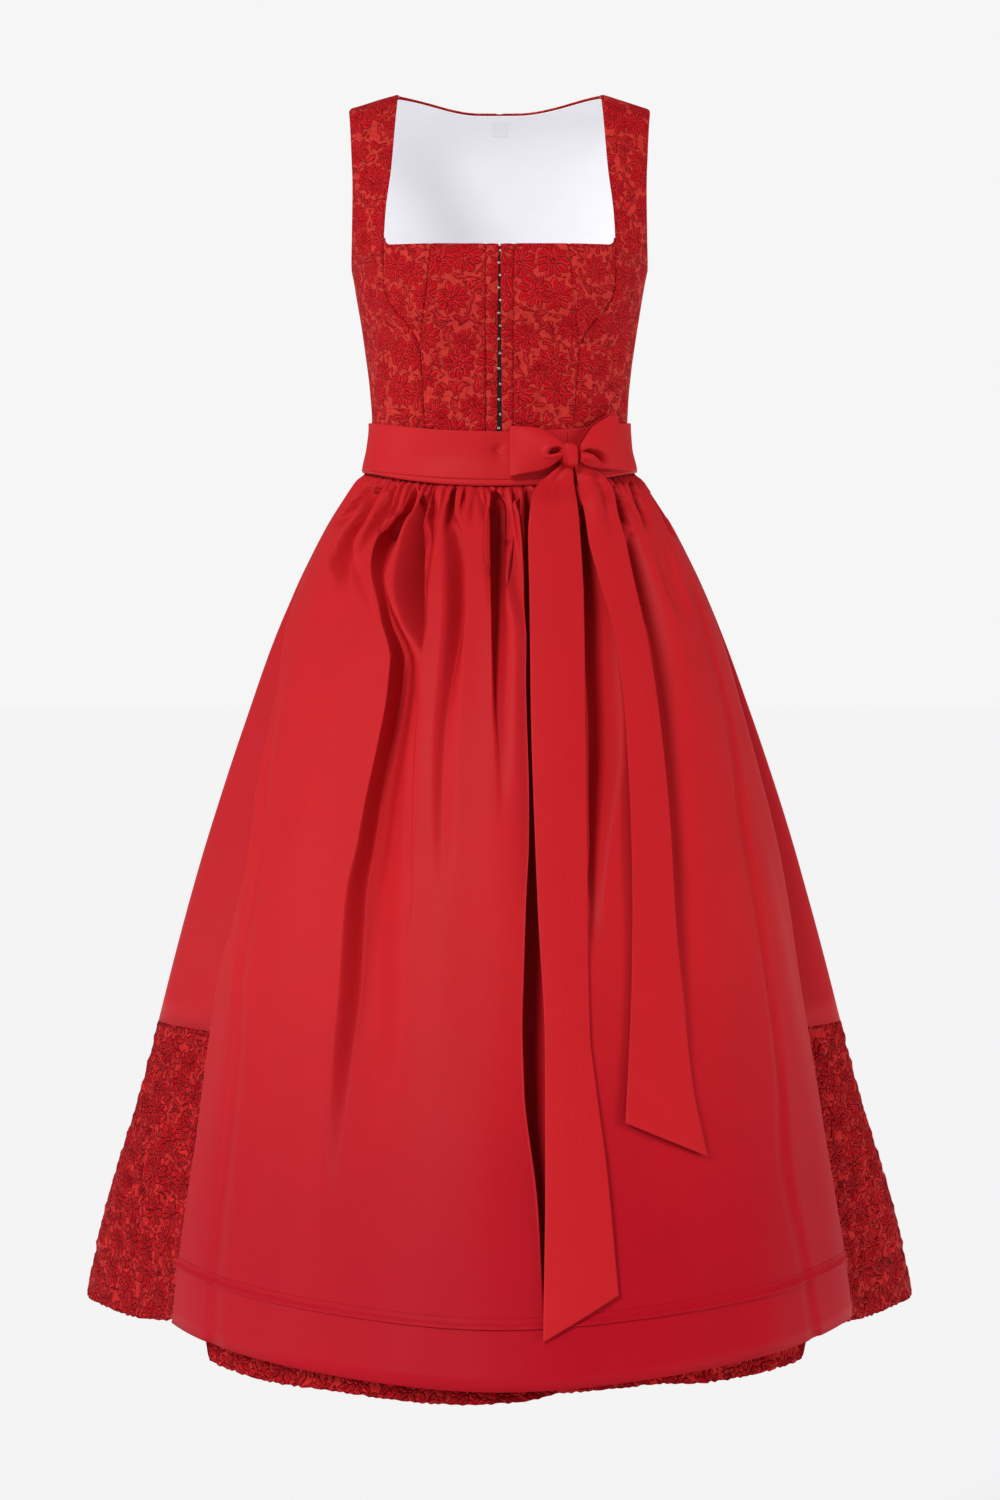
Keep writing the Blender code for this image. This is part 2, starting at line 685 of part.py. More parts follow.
def make_sash(collection):
    """The tie, wound once round the waist over the apron's waistband."""
    knot = torso_angle(KNOT_X, KNOT_LEVEL)
    for name, start, end, columns in (
        ("sash_front_left", -100, knot, 28),
        ("sash_front_right", knot, 100, 14),
        ("sash_back", 100, 260, 24),
    ):
        def shape(column, row, depth):
            inset = math.degrees(SEAM_HALF / 110)
            angle = start + inset + (end - start - 2 * inset) * column / columns
            level = SASH_TOP + (SASH_BOTTOM - SASH_TOP) * row / 3
            return torso, angle, level, sash_out(angle, level) + SATIN_WALL - depth

        cloth(name, shape, columns, 3, SATIN_WALL, SATIN, collection)


def make_loop(name, loop, collection):
    """A loop of the bow: out from the knot in front, round a bend, and back behind."""
    near_half, near_x, near_level = loop["near"]
    far_half, far_top_x, far_bottom_x, far_level = loop["far"]
    straight = 6
    bend = 4
    columns = 2 * straight + bend
    rows = 5
    sign = math.copysign(1.0, far_top_x - near_x)

    def shape(column, row, depth):
        turn = math.pi * min(1.0, max(0.0, (column - straight) / bend))
        share = min(column, columns - column, straight) / straight
        radius = LOOP_BEND + SATIN_WALL / 2 - depth
        around = radius * math.sin(turn)
        out = LOOP_BACK_OUT + LOOP_BEND + radius * math.cos(turn)
        across = row / rows * 2 - 1
        half = near_half + (far_half - near_half) * ramp(-0.3, 1.0, share)
        level = near_level + (far_level - near_level) * share + half * across
        if column < straight:
            out += LOOP_BELLY * math.sin(math.pi * share) * (1 - across * across)
        far_x = far_top_x + (far_bottom_x - far_top_x) * row / rows
        start = torso_angle(near_x, level)
        angle = start + (torso_angle(far_x, level) - start) * share + sign * math.degrees(around / 105)
        return torso, angle, level, out

    cloth(name, shape, columns, rows, SATIN_WALL, SATIN, collection)


def make_tail(name, rows_table, point, collection):
    """An end of the tie, hanging from the knot in front of the apron, cut on the slant."""
    columns = 4

    def shape(column, row, depth):
        level, left, right, stand_off = rows_table[int(round(row))]
        share = column / columns
        x = left + (right - left) * share
        last = ramp(0.55, 1.0, row / (len(rows_table) - 1))
        level += last * point * ((1 - share) if point > 0 else -share)
        if level < 356:
            return torso, torso_angle(x, level), level, stand_off + SATIN_WALL - depth
        angle = math.degrees(math.asin(min(1.0, x / apron_half(1, level))))
        return apron_crests, angle, level, stand_off + SATIN_WALL - depth

    cloth(name, shape, columns, len(rows_table) - 1, SATIN_WALL, SATIN, collection)


def make_knot(collection):
    """The wrapped middle of the bow, seated on the sash."""
    knot = bmesh.new()
    bmesh.ops.create_uvsphere(knot, u_segments=12, v_segments=8, radius=0.5)
    angle = torso_angle(KNOT_X, KNOT_LEVEL)
    seat = offset(torso, angle, KNOT_LEVEL, 3.9)
    outward = (offset(torso, angle, KNOT_LEVEL, 1.0) - torso(angle, KNOT_LEVEL)).normalized()
    aside = outward.cross(Vector((0.0, 0.0, 1.0))).normalized()
    up = aside.cross(outward)
    for vertex in knot.verts:
        square = [math.copysign(abs(2 * c) ** 0.75, c) / 2 for c in vertex.co]
        depth = max(square[1] + 0.5, 0.06) * KNOT_SIZE[1]
        spot = aside * square[0] * KNOT_SIZE[0] + up * square[2] * KNOT_SIZE[2] + outward * depth
        vertex.co = (seat + spot) * MM
    mesh = bpy.data.meshes.new("bow_knot")
    knot.to_mesh(mesh)
    knot.free()
    mesh.materials.append(cloth_material(*SATIN))
    mesh.shade_smooth()
    collection.objects.link(bpy.data.objects.new("bow_knot", mesh))


def main():
    clear_scene()
    dirndl = new_collection("dirndl")
    for side, word in ((-1, "left"), (1, "right")):
        make_bodice_front(side, word, dirndl)
        make_bodice_back(side, word, dirndl)
    make_hook_tape(dirndl)
    make_size_label(dirndl)
    make_skirt(dirndl)
    make_apron(dirndl)
    make_sash(dirndl)
    make_knot(dirndl)
    make_loop("bow_loop_left", LEFT_LOOP, dirndl)
    make_loop("bow_loop_right", RIGHT_LOOP, dirndl)
    make_tail("bow_end_left", LEFT_TAIL, LEFT_TAIL_POINT, dirndl)
    make_tail("bow_end_right", RIGHT_TAIL, RIGHT_TAIL_POINT, dirndl)


main()
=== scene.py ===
import math
import bmesh
import bpy
import numpy as np
from mathutils import Matrix, Vector


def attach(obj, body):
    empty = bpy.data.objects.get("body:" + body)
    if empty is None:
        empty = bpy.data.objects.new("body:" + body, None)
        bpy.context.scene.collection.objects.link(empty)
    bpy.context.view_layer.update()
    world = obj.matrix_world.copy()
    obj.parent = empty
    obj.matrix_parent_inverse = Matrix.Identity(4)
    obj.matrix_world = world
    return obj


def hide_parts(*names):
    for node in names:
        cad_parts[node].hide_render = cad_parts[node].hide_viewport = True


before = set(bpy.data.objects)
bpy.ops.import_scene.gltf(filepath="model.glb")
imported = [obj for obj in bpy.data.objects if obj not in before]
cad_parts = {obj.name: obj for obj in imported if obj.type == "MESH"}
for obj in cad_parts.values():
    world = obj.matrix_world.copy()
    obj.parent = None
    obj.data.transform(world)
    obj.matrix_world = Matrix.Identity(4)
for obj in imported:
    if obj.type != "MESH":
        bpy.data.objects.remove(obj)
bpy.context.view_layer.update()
mm = 0.001
print("frame loaded")

# The tables repeat the solids' own. Millimetres below the shoulders, and degrees from the front.
torsoRows = (  # level, half width, depth in front, depth behind
    (0, 168.0, 0.0, 0.0), (3, 168.0, 20.0, 23.0), (10, 167.0, 36.0, 43.0), (24, 165.0, 53.0, 62.0),
    (55, 160.0, 77.0, 83.0), (100, 154.0, 103.0, 98.0), (142, 148.0, 122.0, 104.0),
    (170, 140.0, 130.0, 104.0), (200, 134.5, 130.0, 101.0), (242, 128.0, 118.0, 95.0),
    (285, 122.6, 103.0, 90.0), (313, 121.2, 97.5, 88.5), (335, 123.0, 97.5, 89.5),
    (350, 125.3, 99.0, 91.0), (366, 127.4, 101.0, 93.0),
)
skirtRows = (  # level, half width, front of the apron, front of the skirt under it, back
    (350, 125.3, 99.0, 99.0, 91.0), (360, 128.0, 102.4, 98.0, 94.4), (370, 138.0, 113.0, 99.0, 104.0),
    (385, 148.5, 127.0, 106.0, 116.0), (413, 166.0, 147.0, 118.0, 134.0),
    (442, 181.0, 165.0, 130.0, 151.0), (470, 194.5, 181.0, 142.0, 167.0),
    (527, 218.5, 209.0, 163.0, 195.0), (584, 238.0, 233.0, 184.0, 219.0),
    (641, 256.0, 254.0, 206.0, 240.0), (727, 283.0, 286.0, 238.0, 271.0),
    (841, 314.0, 322.0, 276.0, 306.0), (955, 345.0, 358.0, 318.0, 341.0),
    (1069, 376.0, 393.0, 363.0, 375.0), (1136, 391.5, 413.0, 390.0, 393.0),
)
reachRows = (  # level, then shares of the half width: apron left and right, skirt left and right
    (350, 1.0, 1.0, 0.985, 0.985), (360, 1.0, 1.0, 0.965, 0.965), (372, 1.0, 1.0, 0.93, 0.93),
    (440, 0.995, 0.995, 0.90, 0.90), (520, 0.98, 0.985, 0.87, 0.87), (660, 0.955, 0.965, 0.855, 0.86),
    (850, 0.90, 0.93, 0.83, 0.85), (1136, 0.845, 0.885, 0.82, 0.86),
)
apronEdgeRows = (  # level, left edge, right edge
    (350, -86.0, 86.0), (440, -84.0, 86.0), (486, -79.5, 85.0), (525, -71.5, 84.0), (565, -66.0, 82.0),
    (640, -64.0, 79.0), (724, -60.0, 76.0), (790, -62.5, 74.0), (830, -65.5, 72.5),
    (900, -65.0, 70.5), (1000, -63.0, 68.0), (1136, -62.0, 66.5),
)
figure = {"waistDip": 13.0, "squareness": 2.3, "shoulderSlope": 14.0, "neckHalf": 95.5, "shoulderHalf": 143.0,
          "cupCentre": (64.0, 205.0), "cupSpread": (34.0, 42.0), "cupFullness": 7.0, "shoulderGap": 0.2}
perDegree = 0.0175  # the length of a one degree arc, over its radius

# How the photo sees the dress: the rows of the shoulders and of the eye, the middle column, and the
# millimetres to a pixel on a plane through the middle of the dress, at a distance from the eye
photo = {"rows": 1500, "shoulderRow": 95.0, "eyeRow": 626.0, "middleColumn": 499.5, "pixel": 0.95,
         "distance": 2800.0}
eyeLevel = (photo["eyeRow"] - photo["shoulderRow"]) * photo["pixel"]


def curve(rows, at, column=1):  # a column of a table, on a smooth curve through its rows
    places = np.array([row[0] for row in rows], float)
    values = np.array([row[column] for row in rows], float)
    rises = np.diff(values) / np.diff(places)
    product = rises[:-1] * rises[1:]
    total = np.where(product > 0, rises[:-1] + rises[1:], 1.0)
    slopes = np.concatenate((rises[:1], np.where(product > 0, 2 * product / total, 0.0), rises[-1:]))
    at = np.clip(np.asarray(at, float), places[0], places[-1])
    i = np.clip(np.searchsorted(places, at) - 1, 0, len(rises) - 1)
    span = places[i + 1] - places[i]
    t = (at - places[i]) / span
    return (values[i] * (1 + 2 * t) * (1 - t) ** 2 + values[i + 1] * t * t * (3 - 2 * t)
            + span * t * (1 - t) * (slopes[i] * (1 - t) - slopes[i + 1] * t))


def ramp(low, high, at):
    t = np.clip((at - low) / (high - low), 0.0, 1.0)
    return t * t * (3 - 2 * t)


def frontness(angle):
    return np.maximum(0.0, np.cos(np.radians(angle))) ** 2


def waistDip(angle, level):
    return figure["waistDip"] * frontness(angle) * ramp(235, 315, level) * (1 - ramp(345, 600, level))


def torso(angle, level):
    turn = np.radians(angle)
    power = 2 / figure["squareness"]
    aside = np.sign(np.sin(turn)) * np.abs(np.sin(turn)) ** power
    forward = np.sign(np.cos(turn)) * np.abs(np.cos(turn)) ** power
    squares = [(row[0], row[2] ** 2, row[3] ** 2) for row in torsoRows]
    depth = np.sqrt(np.where(forward > 0, curve(squares, level, 1), curve(squares, level, 2)))
    x = curve(torsoRows, level) * aside
    past = (np.abs(x) - figure["neckHalf"]) / (figure["shoulderHalf"] - figure["neckHalf"])
    slope = figure["shoulderSlope"] * np.clip(past, 0, 1) * (1 - ramp(0, 110, level))
    awayX = (np.abs(x) - figure["cupCentre"][0]) / figure["cupSpread"][0]
    awayZ = (level - figure["cupCentre"][1]) / figure["cupSpread"][1]
    swell = figure["cupFullness"] * np.exp(-awayX ** 2 - awayZ ** 2) / np.maximum(forward, 0.5)
    depth = depth + np.where(forward > 0, swell, 0.0)
    seamGap = np.where(forward > 0, 1, -1) * figure["shoulderGap"] * (1 - ramp(0, 24, level))
    return np.stack((x, -depth * forward - seamGap, -(level + slope + waistDip(angle, level))), -1)


def torsoAngle(x, level, behind=False):
    share = np.minimum(1.0, np.abs(x) / curve(torsoRows, level)) ** (figure["squareness"] / 2)
    angle = np.degrees(np.arcsin(share))
    return np.sign(x) * (180 - angle if behind else angle)


def oval(half, depth, angle, level, fold):
    turn = np.radians(angle)
    inX = -np.sin(turn) * depth
    inY = np.cos(turn) * half
    size = np.hypot(inX, inY)
    x = half * np.sin(turn) + inX / size * fold
    y = -depth * np.cos(turn) + inY / size * fold
    return np.stack((x, y, -(level + waistDip(angle, level))), -1)


def offset(shape, angle, level, out):  # a surface's point, moved out of it
    around = shape(angle + 0.4, level) - shape(angle - 0.4, level)
    down = shape(angle, level + 1.5) - shape(angle, np.maximum(0.0, level - 1.5))
    normal = np.cross(down, around)
    normal /= np.maximum(np.linalg.norm(normal, axis=-1, keepdims=True), 1e-9)
    return shape(angle, level) + normal * np.asarray(out)[..., None]


def rumple(u, v, pitch, seed):  # soft uneven bumps from crossed waves, between about -2 and 2
    dice = np.random.default_rng(seed)
    total = 0.0
    for turn, rate, phase in dice.uniform((0, 0.7, 0), (6.283, 1.4, 6.283), (14, 3)):
        total = total + np.sin((u * math.cos(turn) + v * math.sin(turn)) * rate * 6.283 / pitch + phase)
    return total / 3.74


def along(levels, share):  # a level from a share of the way down a list of rows
    return np.interp(share * (len(levels) - 1), range(len(levels)), levels)


class Num:  # a number in a shader, so that sums and products of it add Math nodes
    def __init__(self, cloth, socket):
        self.cloth = cloth
        self.socket = socket

    def math(self, operation, *others):
        return Num(self.cloth, self.cloth.node("Math", {"operation": operation},
                                               dict(enumerate((self,) + others))).outputs[0])

    def __add__(self, other):
        return self.math("ADD", other)

    def __mul__(self, other):
        return self.math("MULTIPLY", other)

    def __sub__(self, other):
        return self.math("SUBTRACT", other)

    def __rsub__(self, other):
        return self.math("MULTIPLY_ADD", -1.0, other)

    def __truediv__(self, other):
        return self.math("DIVIDE", other)

    def __pow__(self, other):
        return self.math("POWER", other)

    def __abs__(self):
        return self.math("ABSOLUTE")

    def step(self, low, high):  # 0 to 1 softly between two values, or 1 to 0 when low is above high
        fade = self.cloth.node("MapRange", {"interpolation_type": "SMOOTHSTEP"},
                               {"Value": self, "From Min": low, "From Max": high})
        return Num(self.cloth, fade.outputs["Result"])

    __radd__ = __add__
    __rmul__ = __mul__


class Cloth:  # a material being made
    def __init__(self, name, **finish):
        self.material = bpy.data.materials.new(name)
        self.material.use_nodes = True
        self.tree = self.material.node_tree
        self.shader = self.tree.nodes["Principled BSDF"]
        for socket, value in finish.items():
            self.shader.inputs[socket.replace("_", " ")].default_value = value
        self.map = self.node("UVMap", {"uv_map": "cut"}, {}).outputs["UV"]

    def node(self, kind, settings, values):
        step = self.tree.nodes.new("ShaderNode" + kind)
        for name, value in settings.items():
            if name == "stops":
                for element, (place, colour) in zip(step.color_ramp.elements, value):
                    element.position = place
                    element.color = colour
            else:
                setattr(step, name, value)
        for name, value in values.items():
            self.put(step.inputs[name], value)
        return step

    def put(self, socket, value):
        if isinstance(value, Num):
            value = value.socket
        if isinstance(value, bpy.types.NodeSocket):
            self.tree.links.new(value, socket)
        else:
            socket.default_value = value

    def num(self, socket):
        return Num(self, socket)

    def halves(self, socket):  # the first two parts of a vector
        parts = self.node("SeparateXYZ", {}, {0: socket})
        return self.num(parts.outputs[0]), self.num(parts.outputs[1])

    def scaled(self, vector, factors):
        return self.node("VectorMath", {"operation": "MULTIPLY"}, {0: vector, 1: factors}).outputs[0]

    def noise(self, vector, scale, detail=2.0, roughness=0.5):
        grain = self.node("TexNoise", {"noise_dimensions": "2D"},
                          {"Vector": vector, "Scale": scale, "Detail": detail, "Roughness": roughness})
        return self.num(grain.outputs[0])

    def pick(self, factor, first, second):
        mix = self.node("Mix", {"data_type": "FLOAT"}, {})
        for socket, value in zip((mix.inputs[0], mix.inputs[2], mix.inputs[3]), (factor, first, second)):
            self.put(socket, value)
        return self.num(mix.outputs[0])

    def blend(self, factor, first, second, how="MIX"):
        mix = self.node("Mix", {"data_type": "RGBA", "blend_type": how}, {})
        self.put(mix.inputs[0], factor)
        self.put(mix.inputs[6], first)
        self.put(mix.inputs[7], second)
        return mix.outputs[2]

    def shaded(self, colour, shade):  # the colour, made lighter or darker by a number near 1
        tint = self.node("CombineColor", {}, {0: shade, 1: shade, 2: shade}).outputs[0]
        return self.blend(1.0, colour, tint, "MULTIPLY")

    def finish(self, colour, height, roughness):  # height in millimetres
        bump = self.node("Bump", {}, {"Strength": 1.0, "Distance": mm, "Height": height})
        self.put(self.shader.inputs["Base Color"], colour)
        self.put(self.shader.inputs["Roughness"], roughness)
        self.put(self.shader.inputs["Normal"], bump.outputs["Normal"])
        return self.material


brocadeLook = {
    "flowerCell": 0.031, "flowerRadius": 0.0152, "leafCell": 0.0150, "leafLength": 0.0092,
    "leafWidth": 0.0029,
    "rings": ((6.0, 0.34, 0.25), (10.0, 0.70, 0.33)),  # petals, their middle, half their length
    "smallRings": ((6.0, 0.58, 0.44),), "bend": 0.0060, "gloss": 0.05,
    "ground": (0.545, 0.030, 0.024, 1.0), "motif": (0.475, 0.002, 0.009, 1.0),
    # rim is a painted highlight on the motifs' raised edges and the wrinkles' ridges; groove is painted shade
    # in the grooves and creases
    "rim": (0.72, 0.062, 0.050, 1.0), "groove": (0.16, 0.0, 0.003, 1.0),
    "bodice": {"relief": 1.9, "crushed": 0.5, "shift": 0.0, "coarse": 1.0, "even": 0.0},
    "border": {"relief": 4.8, "crushed": 0.7, "shift": 0.4, "coarse": 1.8, "even": 0.55},
}


# Flowers and leaves strewn at random, woven a little higher than the satin ground
def brocade(name, relief, crushed, shift, coarse, even):
    look = brocadeLook
    cloth = Cloth(name, Specular_IOR_Level=look["gloss"])
    bend = cloth.node("TexNoise", {"noise_dimensions": "2D"},
                      {"Vector": cloth.map, "Scale": 85.0, "Detail": 1.0})
    push = (look["bend"], look["bend"], 0.0)
    pushed = cloth.node("VectorMath", {"operation": "MULTIPLY_ADD"},
                        {0: bend.outputs["Color"], 1: push, 2: cloth.map}).outputs[0]

    def cells(size, move):  # the vector from the middle of the nearest cell, with its dice
        moved = cloth.node("VectorMath", {"operation": "ADD"},
                           {0: pushed, 1: (move + shift, move * 1.7, 0.0)})
        spots = cloth.node("TexVoronoi", {"voronoi_dimensions": "2D", "feature": "F1"},
                           {"Vector": moved.outputs[0], "Scale": 1 / size, "Randomness": 0.75})
        local = cloth.node("VectorMath", {"operation": "SUBTRACT"},
                           {0: moved.outputs[0], 1: spots.outputs["Position"]})
        x, y = cloth.halves(local.outputs[0])
        dice = cloth.node("SeparateColor", {}, {0: spots.outputs["Color"]})
        return (x, y, cloth.num(spots.outputs["Distance"]) * size,
                cloth.num(dice.outputs[0]), cloth.num(dice.outputs[1]))

    # Each shape is about the way in from its outline in millimetres, below 0 outside
    def flowers(size, radius, rings, move):
        x, y, reach, dice, other = cells(size, move)
        around = y.math("ARCTAN2", x) / 6.283 + dice
        full = (other * 0.3 + 0.82) * radius
        share = reach / full
        shape = (1.0 - (share / 0.12) ** 2.0) * (radius * 60.0)
        vein = 1.0
        for petals, middle, half in rings:
            turn = (around * petals).math("FRACT") - 0.5
            lengthwise = (share - middle) / half
            crosswise = abs((turn * (6.283 / petals)).math("SINE")) * share / (2.9 * middle / petals)
            petal = (1.0 - lengthwise * lengthwise - crosswise) * (radius * 2500.0 * middle / petals)
            vein = cloth.pick(petal.math("GREATER_THAN", shape), vein, crosswise.step(0.02, 0.22))
            shape = shape.math("MAXIMUM", petal)
        return shape, vein, share.step(1.15, 0.95)

    def leaves(size, length, width, move):
        x, y, reach, dice, other = cells(size, move)
        turn = dice * 6.283
        cosine = turn.math("COSINE")
        sine = turn.math("SINE")
        lengthwise = (x * cosine + y * sine) / length
        crosswise = (y * cosine - x * sine) / width + lengthwise * lengthwise * (other * 2.4 - 1.2)
        shape = (1.0 - lengthwise * lengthwise - abs(crosswise)) * (width * 700.0)
        return shape, abs(crosswise).step(0.02, 0.24)

    size = look["leafCell"]
    length = look["leafLength"]
    width = look["leafWidth"]
    shape, vein, covered = flowers(look["flowerCell"], look["flowerRadius"], look["rings"], 0.0)
    buds = flowers(look["flowerCell"] * 0.62, look["flowerRadius"] * 0.5, look["smallRings"], 2.41)
    for other, line in (leaves(size, length, width, 0.31),
                        leaves(size * 0.9, length * 0.85, width * 0.85, 1.13), buds[:2]):
        other = other - 0.25 - covered * 6.0
        vein = cloth.pick(other.math("GREATER_THAN", shape), vein, line)
        shape = shape.math("MAXIMUM", other)
    motif = shape.step(-0.15, 0.25)
    dome = shape.step(-0.35, 1.5)
    # the groove mask: the sunk outline of each motif, which also gets painted shade
    groove = abs(shape + 0.10).step(0.60, 0.05)
    # the rim mask: where the painted highlight goes, along the motifs' raised edges
    rim = abs(shape - 0.95).step(0.55, 0.0)
    wrinkles = abs(cloth.noise(cloth.scaled(pushed, (0.7, 1.3, 1.0)), 200.0 / coarse, 1.5) - 0.5)
    ridges = (wrinkles * 2.0).step(0.17, 0.0)
    pucker = cloth.noise(cloth.map, 105.0 / coarse, 2.0 / coarse)
    patches = cloth.noise(cloth.map, 70.0, 1.0)
    crush = abs(cloth.noise(cloth.scaled(pushed, (1.0, 0.75, 1.0)), 95.0 / coarse, 1.5) - 0.5)
    crush = crush.step(0.075, 0.0) * crushed
    weave = cloth.noise(cloth.scaled(cloth.map, (1.0, 0.35, 1.0)), 2600.0, 1.0)
    inside = (1.0 - vein) * motif
    colour = cloth.blend(motif * (1.0 - even) + even, look["ground"], look["motif"])
    # painted highlight: the motifs' raised edges and the wrinkles' ridges are lightened towards the rim
    # colour
    colour = cloth.blend(rim * patches * 0.75 + ridges * patches * 0.14, colour, look["rim"])
    # painted shade: the grooves, the petals' sunk veins and the crushed creases are darkened towards the
    # groove colour
    colour = cloth.blend(groove * 0.56 + inside * 0.26 + crush * 0.40, colour, look["groove"])
    total = (dome * 0.42 - groove * 0.36 - inside * 0.14 + ridges * 0.08 + pucker * 0.5
             - crush * 0.35) * relief + weave * 0.04
    # painted shade and light: the colour darkens in the puckers' hollows and lightens on their tops, as the
    # bump falls and rises
    return cloth.finish(cloth.shaded(colour, 0.80 + 0.40 * pucker), total, 0.52 + 0.2 * motif)


satinLook = {
    "gloss": 0.085, "skirt": (0.48, 0.012, 0.019, 1.0), "apron": (0.52, 0.013, 0.018, 1.0),
    # painted shade: the apron's colour darkens between these heights, in metres from the shoulders, darker
    # towards the hem
    "low": {"from": -0.72, "to": -1.08, "colour": (0.42, 0.004, 0.013, 1.0)},
}


# Plain satin with a faint grain along the cloth's length
def satin(name, colour, low=None):
    cloth = Cloth(name, Specular_IOR_Level=satinLook["gloss"])
    streaks = cloth.noise(cloth.scaled(cloth.map, (1.0, 0.06, 1.0)), 900.0, 2.0)
    mottle = cloth.noise(cloth.map, 14.0, 2.0)
    weave = cloth.noise(cloth.scaled(cloth.map, (0.5, 1.0, 1.0)), 3000.0, 1.0)
    shade = 0.90 + 0.12 * streaks + 0.08 * mottle
    # painted shade: the colour darkens towards the hem between the given heights
    if low:
        place = cloth.node("TexCoord", {}, {}).outputs["Object"]
        height = cloth.num(cloth.node("SeparateXYZ", {}, {0: place}).outputs[2])
        colour = cloth.blend(height.step(low["from"], low["to"]), colour, low["colour"])
    return cloth.finish(cloth.shaded(colour, shade), weave * 0.05 + streaks * 0.03, 0.46 + 0.1 * streaks)


# Plain cotton; a faint blue glow on a white one is painted light that evens out the shade on it
def plainWeave(name, colour, pitch, roughness, paintedGlow=0.0):
    cloth = Cloth(name, Specular_IOR_Level=0.2, Emission_Color=(0.93, 0.93, 1.0, 1.0),
                  Emission_Strength=paintedGlow)
    x, y = cloth.halves(cloth.map)
    threads = (x * (6.283 / pitch)).math("SINE") * (y * (6.283 / pitch)).math("SINE")
    mottle = cloth.noise(cloth.map, 30.0, 3.0)
    shade = 0.96 + 0.05 * mottle + threads * 0.012
    return cloth.finish(cloth.shaded(colour, shade), threads * 0.04 + mottle * 0.3, roughness)


def wire(name):
    cloth = Cloth(name, Metallic=1.0)
    place = cloth.node("TexCoord", {}, {}).outputs["Object"]
    scuff = cloth.num(cloth.node("TexNoise", {}, {"Vector": place, "Scale": 900.0}).outputs[0])
    colour = cloth.blend(scuff, (0.70, 0.69, 0.68, 1.0), (0.86, 0.86, 0.86, 1.0))
    return cloth.finish(colour, scuff * 0.05, 0.22 + 0.2 * scuff)


finishes = {
    "brocade": brocade("redBrocade", **brocadeLook["bodice"]),
    "border": brocade("redBrocadeBorder", **brocadeLook["border"]),
    "satin": satin("redSatin", satinLook["skirt"]),
    "apron": satin("lightRedSatin", satinLook["apron"], satinLook["low"]),
    "tie": satin("tieSatin", satinLook["apron"]),
    # the lining and the label glow: painted light that flattens the shade falling on them
    "lining": plainWeave("whiteLining", (0.59, 0.585, 0.608, 1.0), 0.0006, 0.75, 0.35),
    "label": plainWeave("whiteLabel", (0.55, 0.55, 0.575, 1.0), 0.0004, 0.6, 0.345),
    "tape": plainWeave("blackTape", (0.012, 0.012, 0.013, 1.0), 0.0009, 0.8),
    "wire": wire("silverWire"),
}
print("materials made")


def measure(points):  # lengths along the rows and the columns of a net of points
    across = np.linalg.norm(np.diff(points, axis=1), axis=-1)
    down = np.linalg.norm(np.diff(points, axis=0), axis=-1)
    return across, down


def makePiece(name, net, material):
    mesh = bpy.data.meshes.new(name)
    net.to_mesh(mesh)
    net.free()
    mesh.shade_smooth()
    mesh.materials.append(material)
    piece = bpy.data.objects.new(name, mesh)
    bpy.context.scene.collection.objects.link(piece)
    return piece


# A net of cloth whose points lie where place puts the shares across and down it. Its map has the cloth's
# own metres, turned by some metres to move the pattern, and anchored at a share of its width.
def layCloth(node, place, columns, rows, look, wall=1.0, inner=None, turned=0.0,
             also=(), anchor=0.5):
    net = bmesh.new()
    bmesh.ops.create_grid(net, x_segments=columns, y_segments=rows, size=0.5)
    piece = makePiece(node + "_cloth", net, finishes[look])
    mesh = piece.data
    spots = np.empty(len(mesh.vertices) * 3)
    mesh.vertices.foreach_get("co", spots)
    spots = spots.reshape(-1, 3)
    across = spots[:, 0] + 0.5
    down = 0.5 - spots[:, 1]
    points = place(across, down)
    mesh.vertices.foreach_set("co", (points * mm).ravel())
    column = np.rint(across * columns).astype(int)
    row = np.rint(down * rows).astype(int)
    ordered = np.empty((rows + 1, columns + 1, 3))
    ordered[row, column] = points * mm
    widths, lengths = measure(ordered)
    u = np.zeros((rows + 1, columns + 1))
    u[:, 1:] = np.cumsum(widths, axis=1)
    u -= u[:, round(columns * anchor)][:, None]
    v = np.zeros(rows + 1)
    v[1:] = np.cumsum(lengths.mean(axis=1))
    cut = np.stack((u[row, column] + turned, -v[row]), -1)
    corners = np.empty(len(mesh.loops), dtype=np.int32)
    mesh.loops.foreach_get("vertex_index", corners)
    layer = mesh.uv_layers.new(name="cut")
    layer.data.foreach_set("uv", cut[corners].ravel())
    mesh.update()
    wallStep = piece.modifiers.new("wall", "SOLIDIFY")
    wallStep.thickness = wall * mm
    wallStep.offset = -1.0
    if inner:
        mesh.materials.append(finishes[inner])
        wallStep.material_offset = 1
    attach(piece, "root")
    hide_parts(node, *also)


